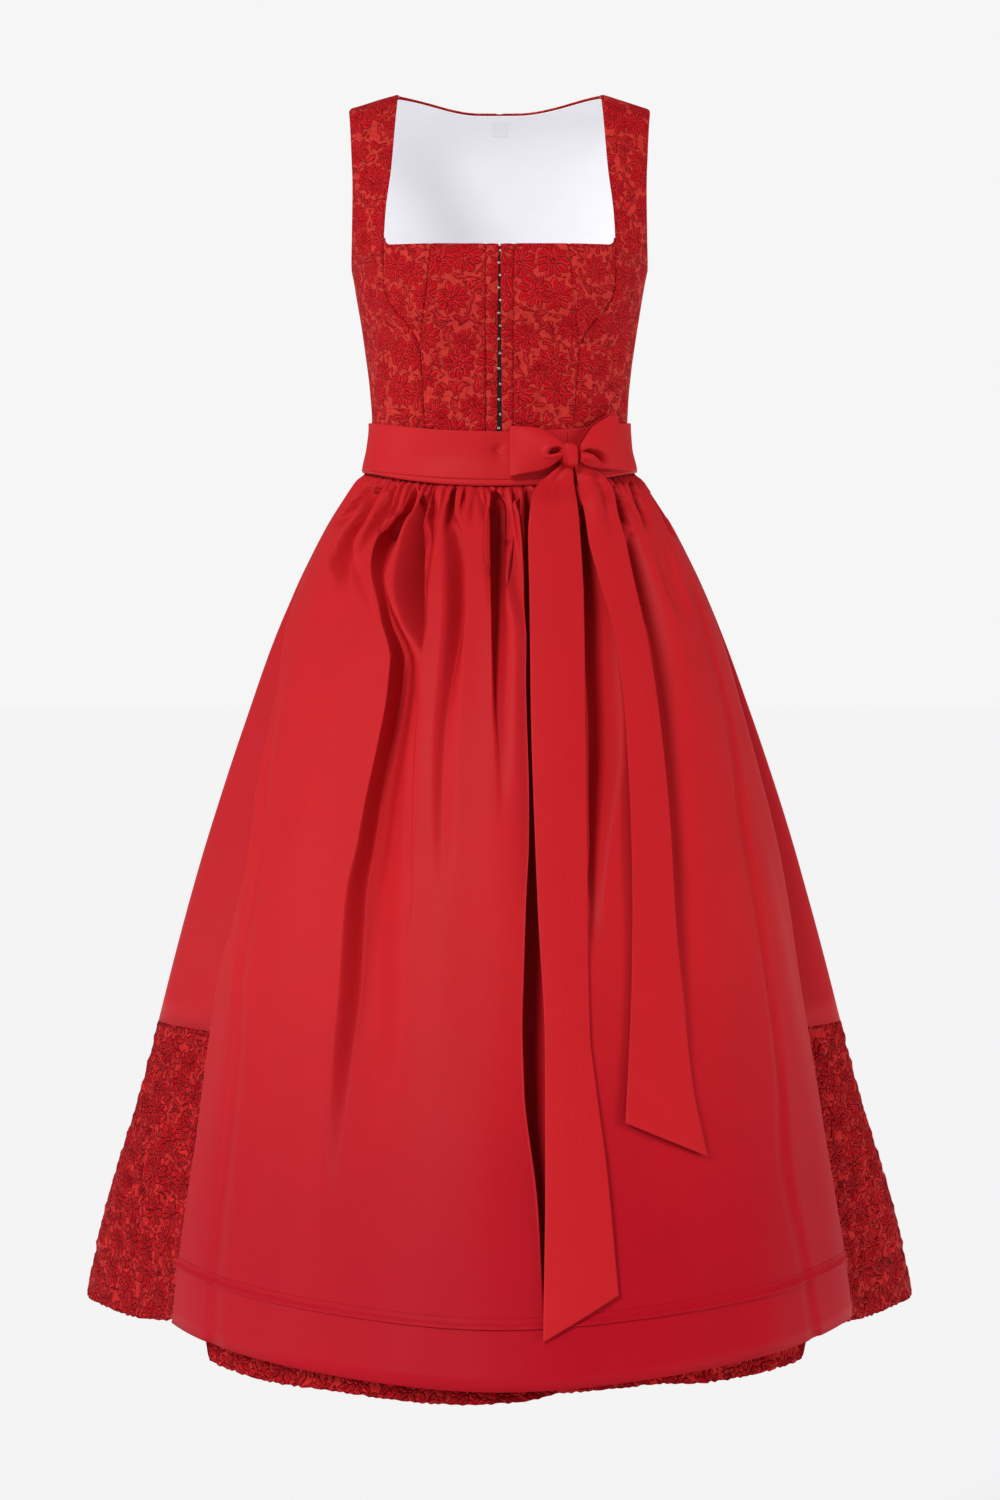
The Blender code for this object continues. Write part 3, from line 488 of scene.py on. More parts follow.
bodice = {
    # seams and edges: level, and distance from the centre line
    "armholeFront": ((0, 143.0), (24, 141.0), (55, 139.5), (100, 138.0), (142, 138.5), (158, 139.2),
                     (168, 140.0)),
    "armholeBack": ((0, 143.0), (24, 139.0), (55, 134.5), (100, 131.5), (142, 134.0), (158, 137.5),
                    (168, 140.0)),
    "sideInner": ((0, 95.5), (24, 97.0), (80, 100.6), (125, 105.8), (158, 107.4), (184, 107.4), (200, 104.8),
                  (216, 96.0), (232, 82.0), (245, 74.6), (248, 73.2), (270, 71.5), (313, 69.0), (350, 67.0)),
    "centreOuter": ((158, 63.0), (200, 67.0), (232, 71.0), (245, 72.2), (248, 72.9), (270, 71.5),
                    (313, 69.0), (350, 67.0)),
    "backOuter": ((0, 143.0), (24, 139.0), (55, 134.5), (100, 131.5), (112, 131.4), (135, 116.0), (165, 97.0),
                  (200, 82.0), (245, 68.0), (300, 55.0), (350, 50.0)),
    "frontEdge": ((158, 0.7), (200, 1.0), (245, 1.4), (350, 2.6)),
    "placket": 12.6, "tape": 9.0, "armpit": 168.0, "neckline": 158.0, "backSideTop": 112,
    "wall": 1.5, "seamDip": 1.2, "seamReach": 1.1, "liningIn": 2.5, "tapeIn": 2.2,
    # levels of the panels' rows
    "strapLevels": (0, 1, 3, 6, 10, 16, 24, 36, 48, 64, 80, 99, 118, 138, 158),
    "cupLevels": (158, 165, 172, 179, 186, 193, 200, 208, 216, 224, 232, 240, 248),
    "lowerLevels": (248, 262, 280, 300, 316, 334, 350),
    "backLevels": (0, 1, 3, 6, 10, 16, 24, 36, 48, 64, 80, 96, 112, 124, 135, 158, 172, 200, 232, 262, 290,
                   313, 334, 350),
}


def seam(table, behind=False, side=1):  # the angle of a seam at each level
    return lambda level: side * torsoAngle(curve(bodice[table], level), level, behind)


def outerSeam(table, behind, side):  # an armhole's edge, and the side seam below it
    armhole = seam(table, behind)
    return lambda level: side * np.where(level >= bodice["armpit"], 90.0, armhole(level))


def bodicePanel(node, first, last, levels, columns, steps, **options):
    edgeLevel = options.get("edgeLevel", lambda angle, level: level)
    out = options.get("out", 0.0)
    look = options.get("look", "brocade")
    dip = options.get("dip", bodice["seamDip"])
    if options.get("side", 1) < 0:
        first, last = last, first

    def place(across, down):
        level = along(levels, down)
        start = first(level)
        end = last(level)
        level = edgeLevel(start + (end - start) * across, level)
        start = first(level)
        end = last(level)
        angle = start + (end - start) * across
        width = np.abs(end - start) * 2.1
        near = np.minimum(across, 1 - across) * width
        sunk = dip * np.exp(-(near / bodice["seamReach"]) ** 2)
        plump = 0.25 * rumple(angle * 2.1, level, 46.0, 5) * ramp(0, 6, near)
        return offset(torso, angle, level, out - sunk + plump)

    layCloth(node, place, columns, steps * (len(levels) - 1), look, options.get("wall", bodice["wall"]),
             options.get("inner"), turned=options.get("turned", 0.0),
             also=options.get("also", ()), anchor=options.get("anchor", 0.5))


def neckCurve(angle, level):  # the neckline looks straight from in front, and turns up into the straps
    x = np.abs(torso(angle, np.full_like(level, bodice["neckline"]))[..., 0])
    corner = 8.0 - np.sqrt(64.0 - np.clip(x - 99.4, 0, 7.9) ** 2)  # a round corner, 8 mm in radius
    rise = 2.6 * (x / 100) ** 2 + 0.5 + corner
    return level - rise * (1 - ramp(bodice["neckline"], 190, level))


def shoulderCorner(angle, level):  # the outer corner of the strap is a little round
    x = np.abs(torso(angle, np.full_like(level, 20.0))[..., 0])
    return level + 5.0 * np.clip((x - 134) / 8, 0, 1) ** 2 * (1 - ramp(0, 26, level))


def backNeck(angle, level):
    x = np.abs(torso(angle, np.full_like(level, 60.0))[..., 0])
    return shoulderCorner(angle, level) + 10.0 * (1 - ramp(18, 97, x)) * (1 - ramp(0, 60, level))


def placketSeam(side):
    return lambda level: side * torsoAngle(bodice["placket"], level)


for side, word in ((-1, "left"), (1, "right")):
    shared = {"side": side, "inner": "lining"}
    inner = seam("sideInner", side=side)
    centre = seam("centreOuter", side=side)
    upper = bodice["cupLevels"] + bodice["lowerLevels"][1:]
    bodicePanel("front_side_" + word, inner, outerSeam("armholeFront", False, side),
                bodice["strapLevels"] + upper[1:], 40, 4, edgeLevel=shoulderCorner, turned=0.3 + 0.2 * side,
                anchor=0.5 - 0.5 * side, **shared)
    bodicePanel("front_cup_" + word, centre, inner, bodice["cupLevels"], 40, 5, edgeLevel=neckCurve,
                turned=0.9 + 0.2 * side, **shared)
    bodicePanel("front_centre_" + word, placketSeam(side), centre, upper, 56, 5, edgeLevel=neckCurve,
                turned=1.5 + 0.2 * side, **shared)
    bodicePanel("placket_" + word, seam("frontEdge", side=side), placketSeam(side), upper, 14, 5,
                edgeLevel=neckCurve, turned=2.1 + 0.2 * side, **shared)
    back = seam("backOuter", True, side)
    outer = outerSeam("armholeBack", True, side)
    low = tuple(level for level in bodice["backLevels"] if level >= bodice["backSideTop"])
    middle = lambda level: np.full_like(level, side * 180.0)
    bodicePanel("back_centre_" + word, back, middle, bodice["backLevels"], 70, 4, side=side,
                edgeLevel=backNeck, turned=2.7 + 0.2 * side)
    bodicePanel("back_side_" + word, outer, back, low, 36, 4, side=side, turned=3.3 + 0.2 * side,
                anchor=0.5 + 0.5 * side)
backSeam = outerSeam("armholeBack", True, 1)
bodicePanel("lining_centre_left", backSeam, lambda level: 360 - backSeam(level),
            (0.2,) + bodice["backLevels"][2:], 150, 3, edgeLevel=backNeck, out=-bodice["liningIn"], wall=0.7,
            look="lining", dip=0.0, also=("lining_centre_right", "lining_side_left", "lining_side_right"))
tapeEdge = lambda level: torsoAngle(bodice["tape"], level)
bodicePanel("hook_tape", lambda level: -tapeEdge(level), tapeEdge, (159,) + upper[1:], 12, 3,
            out=-bodice["tapeIn"], wall=0.9, look="tape", dip=0.1)
print("bodice made")

label = {"width": 15.0, "top": 15.0, "height": 12.0, "inside": 3.6}


def labelPlace(across, down):
    level = label["top"] + label["height"] * down
    x = label["width"] * (across - 0.5)
    angle = torsoAngle(np.where(x == 0, 1e-3, x), level, True)
    return offset(torso, angle, level, np.full_like(down, -label["inside"]))


layCloth("size_label", labelPlace, 16, 12, "label", 0.25)

hooks = {"count": 14, "top": 164.0, "bottom": 310.0, "ring": 0.95, "wire": 0.26, "bar": 3.0,
         "lean": 0.35, "aside": 0.5, "barAside": 0.6, "behind": 1.2}


# Hooks and eyes: a ring and a bar of wire across the opening, each on the tape
def makeHooks():
    net = bmesh.new()
    for i in range(hooks["count"]):
        level = hooks["top"] + (hooks["bottom"] - hooks["top"]) * i / (hooks["count"] - 1)
        spot = torso(np.array([0.001]), np.array([level]))[0]
        side = (-1) ** i
        ringPlace = Matrix.Translation((hooks["ring"], 0, 0)) @ Matrix.Rotation(math.pi / 2, 4, "X")
        start = bmesh.ops.create_circle(net, segments=5, radius=hooks["wire"], matrix=ringPlace)["verts"]
        edges = list({edge for vertex in start for edge in vertex.link_edges})
        bmesh.ops.spin(net, geom=start + edges, cent=(0, 0, 0), axis=(0, 0, 1), angle=2 * math.pi,
                       steps=8, use_merge=True)
        ring = list({vertex for face in net.faces if not face.tag for vertex in face.verts})
        barPlace = (Matrix.Translation((hooks["barAside"] * side, 0, 0.1))
                    @ Matrix.Rotation(math.pi / 2, 4, "Y"))
        bar = bmesh.ops.create_cone(net, cap_ends=True, segments=5, radius1=hooks["wire"],
                                    radius2=hooks["wire"], depth=hooks["bar"], matrix=barPlace)["verts"]
        place = (Matrix.Translation(Vector(spot) + Vector((hooks["aside"] * side, hooks["behind"], 0.0)))
                 @ Matrix.Rotation(hooks["lean"] * math.sin(2.3 * i), 4, "Y")
                 @ Matrix.Rotation(math.pi / 2, 4, "X"))
        bmesh.ops.transform(net, matrix=place, verts=list(set(ring) | set(bar)))
        for face in net.faces:
            face.tag = True
    bmesh.ops.scale(net, vec=(mm, mm, mm), verts=net.verts)
    bmesh.ops.remove_doubles(net, verts=net.verts, dist=1e-7)
    bmesh.ops.recalc_face_normals(net, faces=net.faces)
    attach(makePiece("hooks_and_eyes", net, finishes["wire"]), "root")


makeHooks()
print("closure made")

foldLevels = (366, 400, 440, 500, 600, 720, 900, 1136)
skirt = {
    "seam": 350.0, "borderTop": 878.0, "hem": 1136.0, "gathers": 22,
    "rows": (0, 4, 8, 12, 16, 22, 28, 38, 48, 62, 78, 98, 120, 150, 180, 215, 250, 295, 340, 388, 435, 482,
             528),
    "borderRows": tuple(range(0, 259, 43)),
    "seamDip": 0.5, "seamReach": 2.0, "tucked": 9.0,
    # uneven waves: their pitch, dice and height in mm
    "satinWave": (60.0, 11, 0.8), "borderWaves": ((11.0, 21, 0.55), (24.0, 22, 0.6)),
    "hemWave": (9.0, 23, 0.6),
    "folds": (  # angles and depths at the fold levels, then the half width in degrees
        ((103,) * 8, (2, 4, 5, 7, 8, 10, 13, 16), 5.5),
        ((121, 121, 121, 120, 120, 119, 118, 118), (2, 5, 7, 10, 13, 16, 20, 24), 6.5),
        ((133, 133, 133, 134, 134, 135, 135, 135), (1, 3, 4, 6, 9, 11, 14, 18), 5.5),
        ((150, 150, 150, 150, 150, 151, 151, 151), (3, 6, 9, 12, 15, 19, 24, 28), 7.0),
        ((164, 164, 164, 165, 165, 166, 167, 167), (1, 3, 5, 7, 10, 13, 16, 20), 5.5),
        ((180, 180, 180, 180, 180, 181, 182, 182), (2, 4, 6, 8, 11, 14, 18, 22), 6.0),
        ((199, 199, 199, 198, 198, 197, 197, 197), (2, 5, 8, 11, 14, 17, 21, 26), 6.5),
        ((212, 212, 212, 213, 213, 214, 214, 214), (1, 3, 4, 6, 9, 11, 14, 17), 5.5),
        ((229, 229, 229, 229, 229, 230, 230, 230), (3, 6, 8, 11, 14, 18, 22, 27), 7.0),
        ((243, 243, 243, 244, 244, 245, 246, 246), (1, 3, 4, 6, 8, 11, 14, 17), 5.5),
        ((259, 259, 259, 259, 259, 260, 260, 260), (1, 3, 4, 5, 7, 9, 11, 14), 5.0),
    ),
    "frontHemDrop": (  # angle, and how much lower the hem is there
        (-74, 0.0), (-67, -8.0), (-60, -22.0), (-54, -20.0), (-51.5, 6.0), (-40, 7.0), (-25, 4.0), (-8, 6.0),
        (3, 3.0), (9, -3.0), (22, -4.0), (30, 1.0), (46, 4.0), (51, 4.0), (53, -14.0), (60, -16.0),
        (67, -6.0), (74, 0.0)),
}


def apronEdge(side, level):
    return np.where(side < 0, curve(apronEdgeRows, level, 1), curve(apronEdgeRows, level, 2))


def skirtSurface(angle, level):
    angle = np.mod(angle, 360)
    near = np.where(angle <= 180, angle, angle - 360)
    half = curve(skirtRows, level)
    edge = np.abs(apronEdge(near, level)) + 1
    tucked = np.where(near < 0, curve(reachRows, level, 3), curve(reachRows, level, 4))
    front = np.abs(near) < 90
    fold = 0.0
    for angles, depths, width in skirt["folds"]:
        away = (angle - curve(tuple(zip(foldLevels, angles)), level)) / width
        fold = fold + curve(tuple(zip(foldLevels, depths)), level) * np.exp(-away ** 2)
    frontHalf = half * (tucked + (1 - tucked) * ramp(edge, 90, np.abs(near)))
    under = skirt["tucked"] * (1 - ramp(edge - 9, edge - 2, np.abs(near)))  # room for the apron's creases
    under = under * ramp(362, 385, level) * (1 - ramp(600, 900, level))
    point = oval(np.where(front, frontHalf, half),
                 np.where(front, curve(skirtRows, level, 3), curve(skirtRows, level, 4)),
                 near, level, np.where(front, under, fold))
    drop = curve(skirt["frontHemDrop"], near) * ramp(1000, skirt["hem"], level)
    point[..., 2] -= np.where(front, drop, 0.0)
    return point


# Gathers: narrow valleys of uneven depth and length, and a few longer ones where they run together.
# The dice give each its place, strength, length in mm and width.
def gathers(place, below, count, seed, depth=5.0):
    dice = np.random.default_rng(seed)
    start = 0.2 + 0.8 * ramp(-1, 7, below)
    total = 0.0
    for i in range(count):
        shift, strong, long, wide = dice.uniform((-0.16, 0.45, 26, 0.14), (0.16, 1.0, 70, 0.24))
        fade = 1 - ramp(0.3 * long, long, below)
        total = total + strong * np.exp(-((place - i - 0.5 - shift) / wide) ** 2) * fade * start
    for i in range(count // 3):
        at, strong, long, wide = dice.uniform((0, 0.6, 60, 0.4), (count, 1.3, 170, 0.85))
        lean = dice.uniform(-0.006, 0.006)
        fade = ramp(4, 26, below) * (1 - ramp(0.3 * long, long, below))
        total = total + strong * np.exp(-((place - at - lean * below) / wide) ** 2) * fade
    puff = ramp(0, 5, below) * (1 - ramp(6, 24, below))
    return depth * total - 1.3 * puff


def skirtPanel(node, start, end, top, columns, rows, steps, look, gathered=None):  # gathered gives the dice
    def place(across, down):
        level = top + along(rows, down)
        angle = start + (end - start) * across
        radius = curve(skirtRows, level)
        toSeam = np.minimum(across, 1 - across) * (end - start) * perDegree * radius
        sunk = skirt["seamDip"] * np.exp(-(toSeam / skirt["seamReach"]) ** 2)
        if gathered:
            count = skirt["gathers"]
            sunk = sunk + gathers(across * count, level - skirt["seam"], count, gathered)
        turned = 180 - np.abs(180 - np.mod(angle, 360))  # alike on both sides, so that the seams meet
        pitch, seed, height = skirt["satinWave"]
        wave = rumple(turned * 4.0, level * 0.25, pitch, seed) * ramp(380, 520, level) * height
        if look == "border":
            u = turned * perDegree * radius
            quilted = [rumple(u, level, pitch, seed) * height for pitch, seed, height in skirt["borderWaves"]]
            wave = wave + sum(quilted) * ramp(0, 4, level - top)
            pitch, seed, height = skirt["hemWave"]
            low = ramp(skirt["hem"] - 6, skirt["hem"], level)
            level = level + rumple(u, u * 0.3, pitch, seed) * height * low
        return offset(skirtSurface, angle, level, wave - sunk)

    layCloth(node, place, columns, steps * (len(rows) - 1), look, 1.1, None,
             turned=start * 0.01)


def skirtQuarter(word, start, columns, steps, gathered=None):
    end = start + 90
    skirtPanel("skirt_" + word, start, end, skirt["seam"], columns, skirt["rows"], steps, "satin", gathered)
    skirtPanel("border_" + word, start, end, skirt["borderTop"], 150, skirt["borderRows"], 11, "border")


skirtQuarter("front_left", -90, 90, 2)
skirtQuarter("front_right", 0, 90, 2)
skirtQuarter("back_right", 90, 176, 4, gathered=3)
skirtQuarter("back_left", 180, 176, 4, gathered=4)
print("skirt made")

apron = {
    "bandTop": 334.0, "bandBottom": 360.0, "bandDrop": 4.0, "hem": 1121.0, "tuckFold": 1074.0,
    "tuckHeight": 9.0, "sag": 5.0, "gathers": 44, "gatherDepth": 8.0, "fade": (0.2, 0.3, 0.78, 0.84),
    "crowding": 0.6,
    "guides": (  # a crease, its left crest (1) or right crest (2), and the share of the net left of it
        ("longLeft", 1, 0.24), ("darkLeft", 2, 0.40), ("leftOfMiddle", 2, 0.49), ("middle", 1, 0.54),
        ("besideBow", 1, 0.63), ("betweenEnds", 1, 0.74), ("rightHip", 1, 0.84)),
    "rows": tuple(range(0, 100, 9)) + tuple(range(117, 244, 18)) + tuple(range(279, 784, 36)),
    "wave": (70.0, 31, 0.7),  # an uneven wave: its pitch, dice and height in mm
}
# Each crease as the photo shows it. First how far in mm its bottom lies under the cloth to its left, then
# from the top down: the photo's row, the columns of the left and right crests, and in mm the depth and how
# far it falls and rises over.
creaseReadings = {
    "hipUpper": (0, ((481, 373, 378, 0, 3, 3), (488, 364, 372, 8, 3, 4), (497, 354, 363, 12, 3.5, 5),
        (507, 346, 358, 13, 4, 6.5), (517, 337, 350, 9, 5, 8), (527, 331, 343, 0, 6, 9))),
    "hipLower": (0, ((479, 383, 388, 0, 3, 3), (486, 376, 385, 9, 3, 4), (495, 364, 378, 14, 3, 6),
        (506, 361, 372, 15, 3.5, 7), (522, 350, 364, 17, 4, 9), (538, 338, 355, 20, 5, 13),
        (552, 331, 352, 22, 6, 15), (563, 329, 350, 18, 7, 15), (575, 333, 352, 9, 8, 14),
        (588, 338, 354, 0, 9, 13))),
    "hipSpread": (-2, ((538, 349, 354, 0, 4, 2), (552, 342, 353, 3, 8, 2), (564, 346, 357, 4, 9, 2),
        (580, 352, 364, 4, 10, 2.5), (596, 359, 370, 2, 10, 3), (612, 366, 376, 0, 10, 3))),
    "longLeft": (5, ((483, 413, 418, 0, 2.5, 2.5), (490, 410, 417, 9, 2.5, 4), (500, 407, 414, 14, 2.5, 4),
        (509, 402.5, 411, 17, 3, 5), (517, 395, 407, 19, 3, 6), (526, 386, 403, 22, 3, 9),
        (535, 379, 400, 25, 3, 11), (546, 374, 396, 26, 2.5, 12), (557, 371.5, 391, 25, 2.5, 12),
        (573, 371, 386, 20, 2.5, 11), (590, 374, 388, 16, 2.5, 11), (604, 377.5, 392, 15, 2.5, 12),
        (622, 381, 400, 19, 2.5, 14), (645, 388.5, 414, 28, 2.5, 18), (661, 390.5, 420, 32, 2.5, 20),
        (700, 386.5, 424, 31, 3, 26), (750, 376.5, 422, 28, 4.5, 32), (800, 365, 420, 26, 7, 38),
        (850, 355, 416, 25, 10, 40), (900, 344, 412, 23, 14, 42), (950, 340, 410, 21, 16, 44),
        (1000, 336, 410, 18, 18, 44), (1060, 330, 408, 13, 18, 44), (1120, 324, 404, 8, 20, 44),
        (1180, 320, 390, 4, 20, 40), (1260, 315, 380, 0, 20, 40))),
    "darkLeft": (-6, ((482, 432, 436, 0, 2, 2), (488, 428, 434, 8, 2.5, 2), (496, 422, 430, 12, 4, 1.8),
        (504, 416, 425.5, 16, 5, 1.8), (516, 409, 421.8, 23, 7, 2), (534, 401, 421.3, 30, 10, 2.2),
        (546, 398, 420.8, 34, 12, 2.2), (557, 395, 420.6, 36, 14, 2.2), (573, 392, 421.5, 36, 16, 2.2),
        (590, 392, 422.3, 35, 17, 2.3), (604, 395, 423, 31, 16, 2.5), (627, 401, 423.4, 21, 15, 2.5),
        (645, 405, 423, 14, 14, 3), (673, 406, 420.5, 9, 12, 3), (700, 406, 418, 6, 10, 3),
        (760, 402, 414, 4, 10, 3), (830, 400, 411.5, 3.5, 10, 2.5), (900, 400, 411.5, 3, 10, 2.5),
        (925, 400, 411, 0, 10, 3))),
    "hipInner": (0, ((478, 394, 399, 0, 3, 3), (484, 390, 397, 9, 3, 4), (492, 385, 394, 15, 3, 4.5),
        (506, 378, 389, 17, 3.5, 6), (520, 370, 382, 16, 4, 8), (532, 363, 376, 11, 5, 9),
        (542, 358, 370, 6, 6, 9), (552, 355, 366, 0, 6, 9))),
    "leftOfMiddle": (-2, ((486, 455, 459, 0, 2, 2), (492, 451.9, 457.5, 8, 2, 3),
        (500, 447, 455.5, 11, 3, 3), (510, 443, 455, 11, 5, 4), (522, 441, 459, 12, 8, 5),
        (540, 440, 464, 16, 12, 4), (569, 441, 466, 20, 15, 3), (604, 441, 466, 21, 15, 3),
        (627, 440, 465, 19, 15, 5), (673, 436, 463, 14, 15, 12), (720, 432, 460, 9, 15, 16),
        (800, 430, 458, 6, 14, 20), (900, 430, 458, 0, 14, 20))),
    "middle": (2, ((484, 485, 490, 0, 3, 2.5), (490, 487, 495, 8, 3, 3.5), (500, 490.5, 503, 17, 2.5, 4),
        (520, 491.5, 504, 25, 2, 4), (545, 491.7, 504, 27, 2, 4), (569, 491.6, 504.5, 27, 2, 5),
        (600, 491.6, 508, 25, 2, 9), (627, 491.6, 514, 22, 2.2, 15), (660, 491.6, 516, 17, 2.5, 19),
        (700, 492, 516, 12, 3.5, 21), (760, 494, 516, 6, 6, 20), (820, 496, 516, 0, 8, 20))),
    "shortLeft": (0, ((486, 465, 471, 0, 3, 3), (490, 463, 470, 6, 3, 3), (497, 461, 468, 6, 3, 3.5),
        (504, 460, 467, 3, 3, 4), (512, 461, 466, 0, 2, 3))),
    "shortMiddle": (0, ((484, 474, 480, 0, 3, 3), (489, 474, 482, 6, 3, 3.5), (496, 475, 484.1, 7, 3, 4),
        (504, 478, 485, 4, 2, 3), (514, 480, 487, 0, 2, 3))),
    "shortRight": (0, ((484, 508, 514, 0, 3, 3), (489, 509, 518, 5, 3, 4), (496, 511, 521, 6, 3, 5),
        (505, 513, 521, 3, 3, 5), (514, 515, 521, 0, 3, 4))),
    "besideBow": (6, ((485, 524, 530, 0, 2, 3), (495, 526.5, 540, 12, 2.2, 6),
        (520, 526.3, 550, 24, 2.2, 12), (569, 526.4, 560, 32, 2.2, 20), (627, 526.8, 565.9, 38, 2.2, 26),
        (700, 527.2, 572, 42, 2.2, 30), (780, 530.4, 576, 42, 2.2, 34), (850, 530, 578, 43, 2.5, 36),
        (894, 527, 580, 44, 3, 38), (940, 525.3, 580, 44, 3, 38), (986, 524, 580, 44, 3, 40),
        (1031, 522.6, 580, 43, 3.5, 40), (1100, 525.8, 580, 39, 4, 40), (1146, 531.7, 582, 35, 4, 40),
        (1191, 537.7, 584, 29, 4, 40), (1230, 540, 587, 21, 5, 40), (1290, 541.5, 589, 9, 8, 40),
        (1335, 542, 590, 0, 10, 40))),
    "betweenEnds": (3, ((484, 586, 592, 0, 2, 2), (495, 583, 598, 16, 2.5, 5), (520, 582, 603, 26, 4, 8),
        (545, 582, 607, 30, 5, 10), (569, 582, 611, 33, 6, 12), (604, 583, 617, 34, 6, 14),
        (627, 584, 619, 33, 6, 16), (673, 585, 622, 32, 6, 18), (700, 587, 624, 32, 6, 18),
        (760, 588, 624, 31, 7, 18), (800, 588, 618, 27, 8, 16), (850, 588, 610, 18, 8, 14),
        (900, 584, 606, 8, 8, 12), (960, 584, 606, 0, 8, 12))),
    "rightHip": (3, ((483, 611, 616, 0, 2, 2), (490, 613, 620, 16, 1.8, 2.5), (500, 615, 627, 26, 2, 3),
        (510, 617, 630, 26, 2.2, 3.5), (518, 619, 630, 14, 2.5, 4), (528, 622, 634, 5, 3, 6),
        (538, 625, 642, 10, 3, 7), (551, 628, 647, 19, 3, 10), (578, 636, 658, 22, 4, 12),
        (605, 643, 668, 22, 5, 14), (632, 648, 677, 22, 6, 18), (660, 652, 684, 21, 6, 22),
        (700, 655, 690, 20, 6, 26), (760, 658, 694, 17, 6, 28), (800, 662, 698, 15, 6, 30),
        (870, 668, 704, 12, 7, 32), (940, 674, 708, 8, 9, 32), (1000, 680, 712, 3, 10, 30),
        (1060, 680, 712, 0, 10, 30))),
    "rightShort": (0, ((481, 627, 631, 0, 2.5, 2.5), (487, 629, 634.9, 12, 2, 2),
        (494.1, 632.5, 641, 18, 2, 2.5), (508, 638.5, 649, 18, 2, 3.2), (519, 642, 652, 10, 2.5, 4),
        (530, 645, 656, 0, 3, 6))),
    "rightSoft": (0, ((540, 650, 668, 0, 8, 10), (565, 657, 678, 4, 8, 10), (590, 665, 686, 5, 8, 10),
        (605, 672, 692, 4, 8, 9), (625, 682, 700, 0, 8, 8))),
    "rightLong": (0, ((575, 684, 692, 0, 4, 3), (600, 692, 700, 2.5, 5, 2), (650, 704, 714, 3, 7, 2),
        (700, 718, 728, 3, 9, 2), (760, 730, 740, 3.5, 9, 2), (830, 738, 749, 3.5, 10, 2.5),
        (900, 750, 761, 3, 11, 2.5), (960, 760, 768, 3, 11, 3), (1058, 772, 783, 3, 12, 3),
        (1180, 778, 792, 2.5, 12, 4), (1276, 798, 812, 2, 12, 5), (1340, 808, 822, 2, 12, 5))),
    "crumpleUpper": (0, ((890, 556, 563, 0, 3, 5), (903, 562, 574, 4, 3, 6), (914, 570, 584, 5, 3, 7),
        (924, 578, 592, 0, 3, 7))),
    "crumpleLower": (0, ((922, 590, 596, 0, 3, 5), (934, 578, 592, 4, 3, 6), (944, 568, 584, 5, 3, 7),
        (954, 560, 576, 0, 3, 7))),
    "leftLong": (0, ((700, 276, 286, 0, 8, 14), (760, 262, 276, 2.5, 8, 16), (870, 250, 266, 3, 8, 18),
        (960, 236, 252, 3, 9, 20), (1060, 228, 246, 3, 10, 20), (1180, 214, 234, 3, 10, 22),
        (1290, 206, 228, 2, 12, 24), (1340, 204, 226, 2, 12, 24))),
}


def apronHalf(angle, level):
    reach = np.where(angle < 0, curve(reachRows, level, 1), curve(reachRows, level, 2))
    return curve(skirtRows, level) * reach


def apronCrests(angle, level):
    return oval(apronHalf(angle, level), curve(skirtRows, level, 2), angle, level, 0.0)


def onCrests(row, column):  # the angle and level of the place on the crests that the photo shows there
    angle = np.zeros_like(row)
    level = (row - photo["shoulderRow"]) * photo["pixel"] * 0.9
    for _ in range(60):
        spot = apronCrests(angle, level)
        pixel = photo["pixel"] * (1 + spot[:, 1] / photo["distance"])
        level = level + (row - photo["eyeRow"]) * pixel + eyeLevel + spot[:, 2]
        sine = (column - photo["middleColumn"]) * pixel / apronHalf(angle, level)
        angle = np.degrees(np.arcsin(np.clip(sine, -1, 1)))
    return angle, level


def placeCrease(overlap, readings):  # the same crease by level and angle, to 1 mm and a tenth of a degree
    row, left, right, depth, fall, rise = np.array(readings, float).T
    left, leftLevel = onCrests(row, left)
    right, rightLevel = onCrests(row, right)
    level = np.round((leftLevel + rightLevel) / 2)
    return overlap, tuple(zip(level, np.round(left, 1), np.round(right, 1), depth, fall, rise))


creases = {name: placeCrease(*reading) for name, reading in creaseReadings.items()}
# The photo shows this one edge on, so it is set by level and angle
creases["rightEdge"] = (0, ((373, 83.0, 83.0, 0, 2, 2), (379, 79.5, 86.5, 5, 2, 2.5),
                            (394, 75.5, 89.0, 7, 2, 2.5), (411, 73.0, 81.5, 6, 2, 2.5),
                            (423, 72.5, 82.0, 0, 2, 2.5)))


def apronSurface(angle, level):
    half = apronHalf(angle, level)
    depth = curve(skirtRows, level, 2)
    arc = (half + depth) / 2 * math.pi / 180
    fold = 0.0
    shift = 0.0
    for overlap, rows in creases.values():
        deep = curve(rows, level, 3)
        strength = (ramp(0, curve(rows, level, 4), (angle - curve(rows, level, 1)) * arc)
                    * ramp(0, curve(rows, level, 5), (curve(rows, level, 2) - angle) * arc))
        fold = fold + deep * strength
        shift = shift + overlap * strength * np.clip((deep - 8) / 16, 0, 1)
    return oval(half, depth, angle - shift / arc, level, fold)


def apronAngle(across, level):  # the net's lines follow the main crests, and crowd together beside them
    angle = curve(apronEdgeRows, level, 1)
    lines = [angle] + [curve(creases[name][1], level, crest) for name, crest, share in apron["guides"]]
    lines.append(curve(apronEdgeRows, level, 2))
    shares = [0.0] + [guide[2] for guide in apron["guides"]] + [1.0]
    for i in range(len(shares) - 1):
        t = np.clip((across - shares[i]) / (shares[i + 1] - shares[i]), 0, 1)
        crowded = t - apron["crowding"] * np.sin(2 * math.pi * t) / (2 * math.pi)
        angle = angle + (lines[i + 1] - lines[i]) * crowded
    return angle


def apronShare(angle, level):
    left = curve(apronEdgeRows, level, 1)
    return (angle - left) / (curve(apronEdgeRows, level, 2) - left)


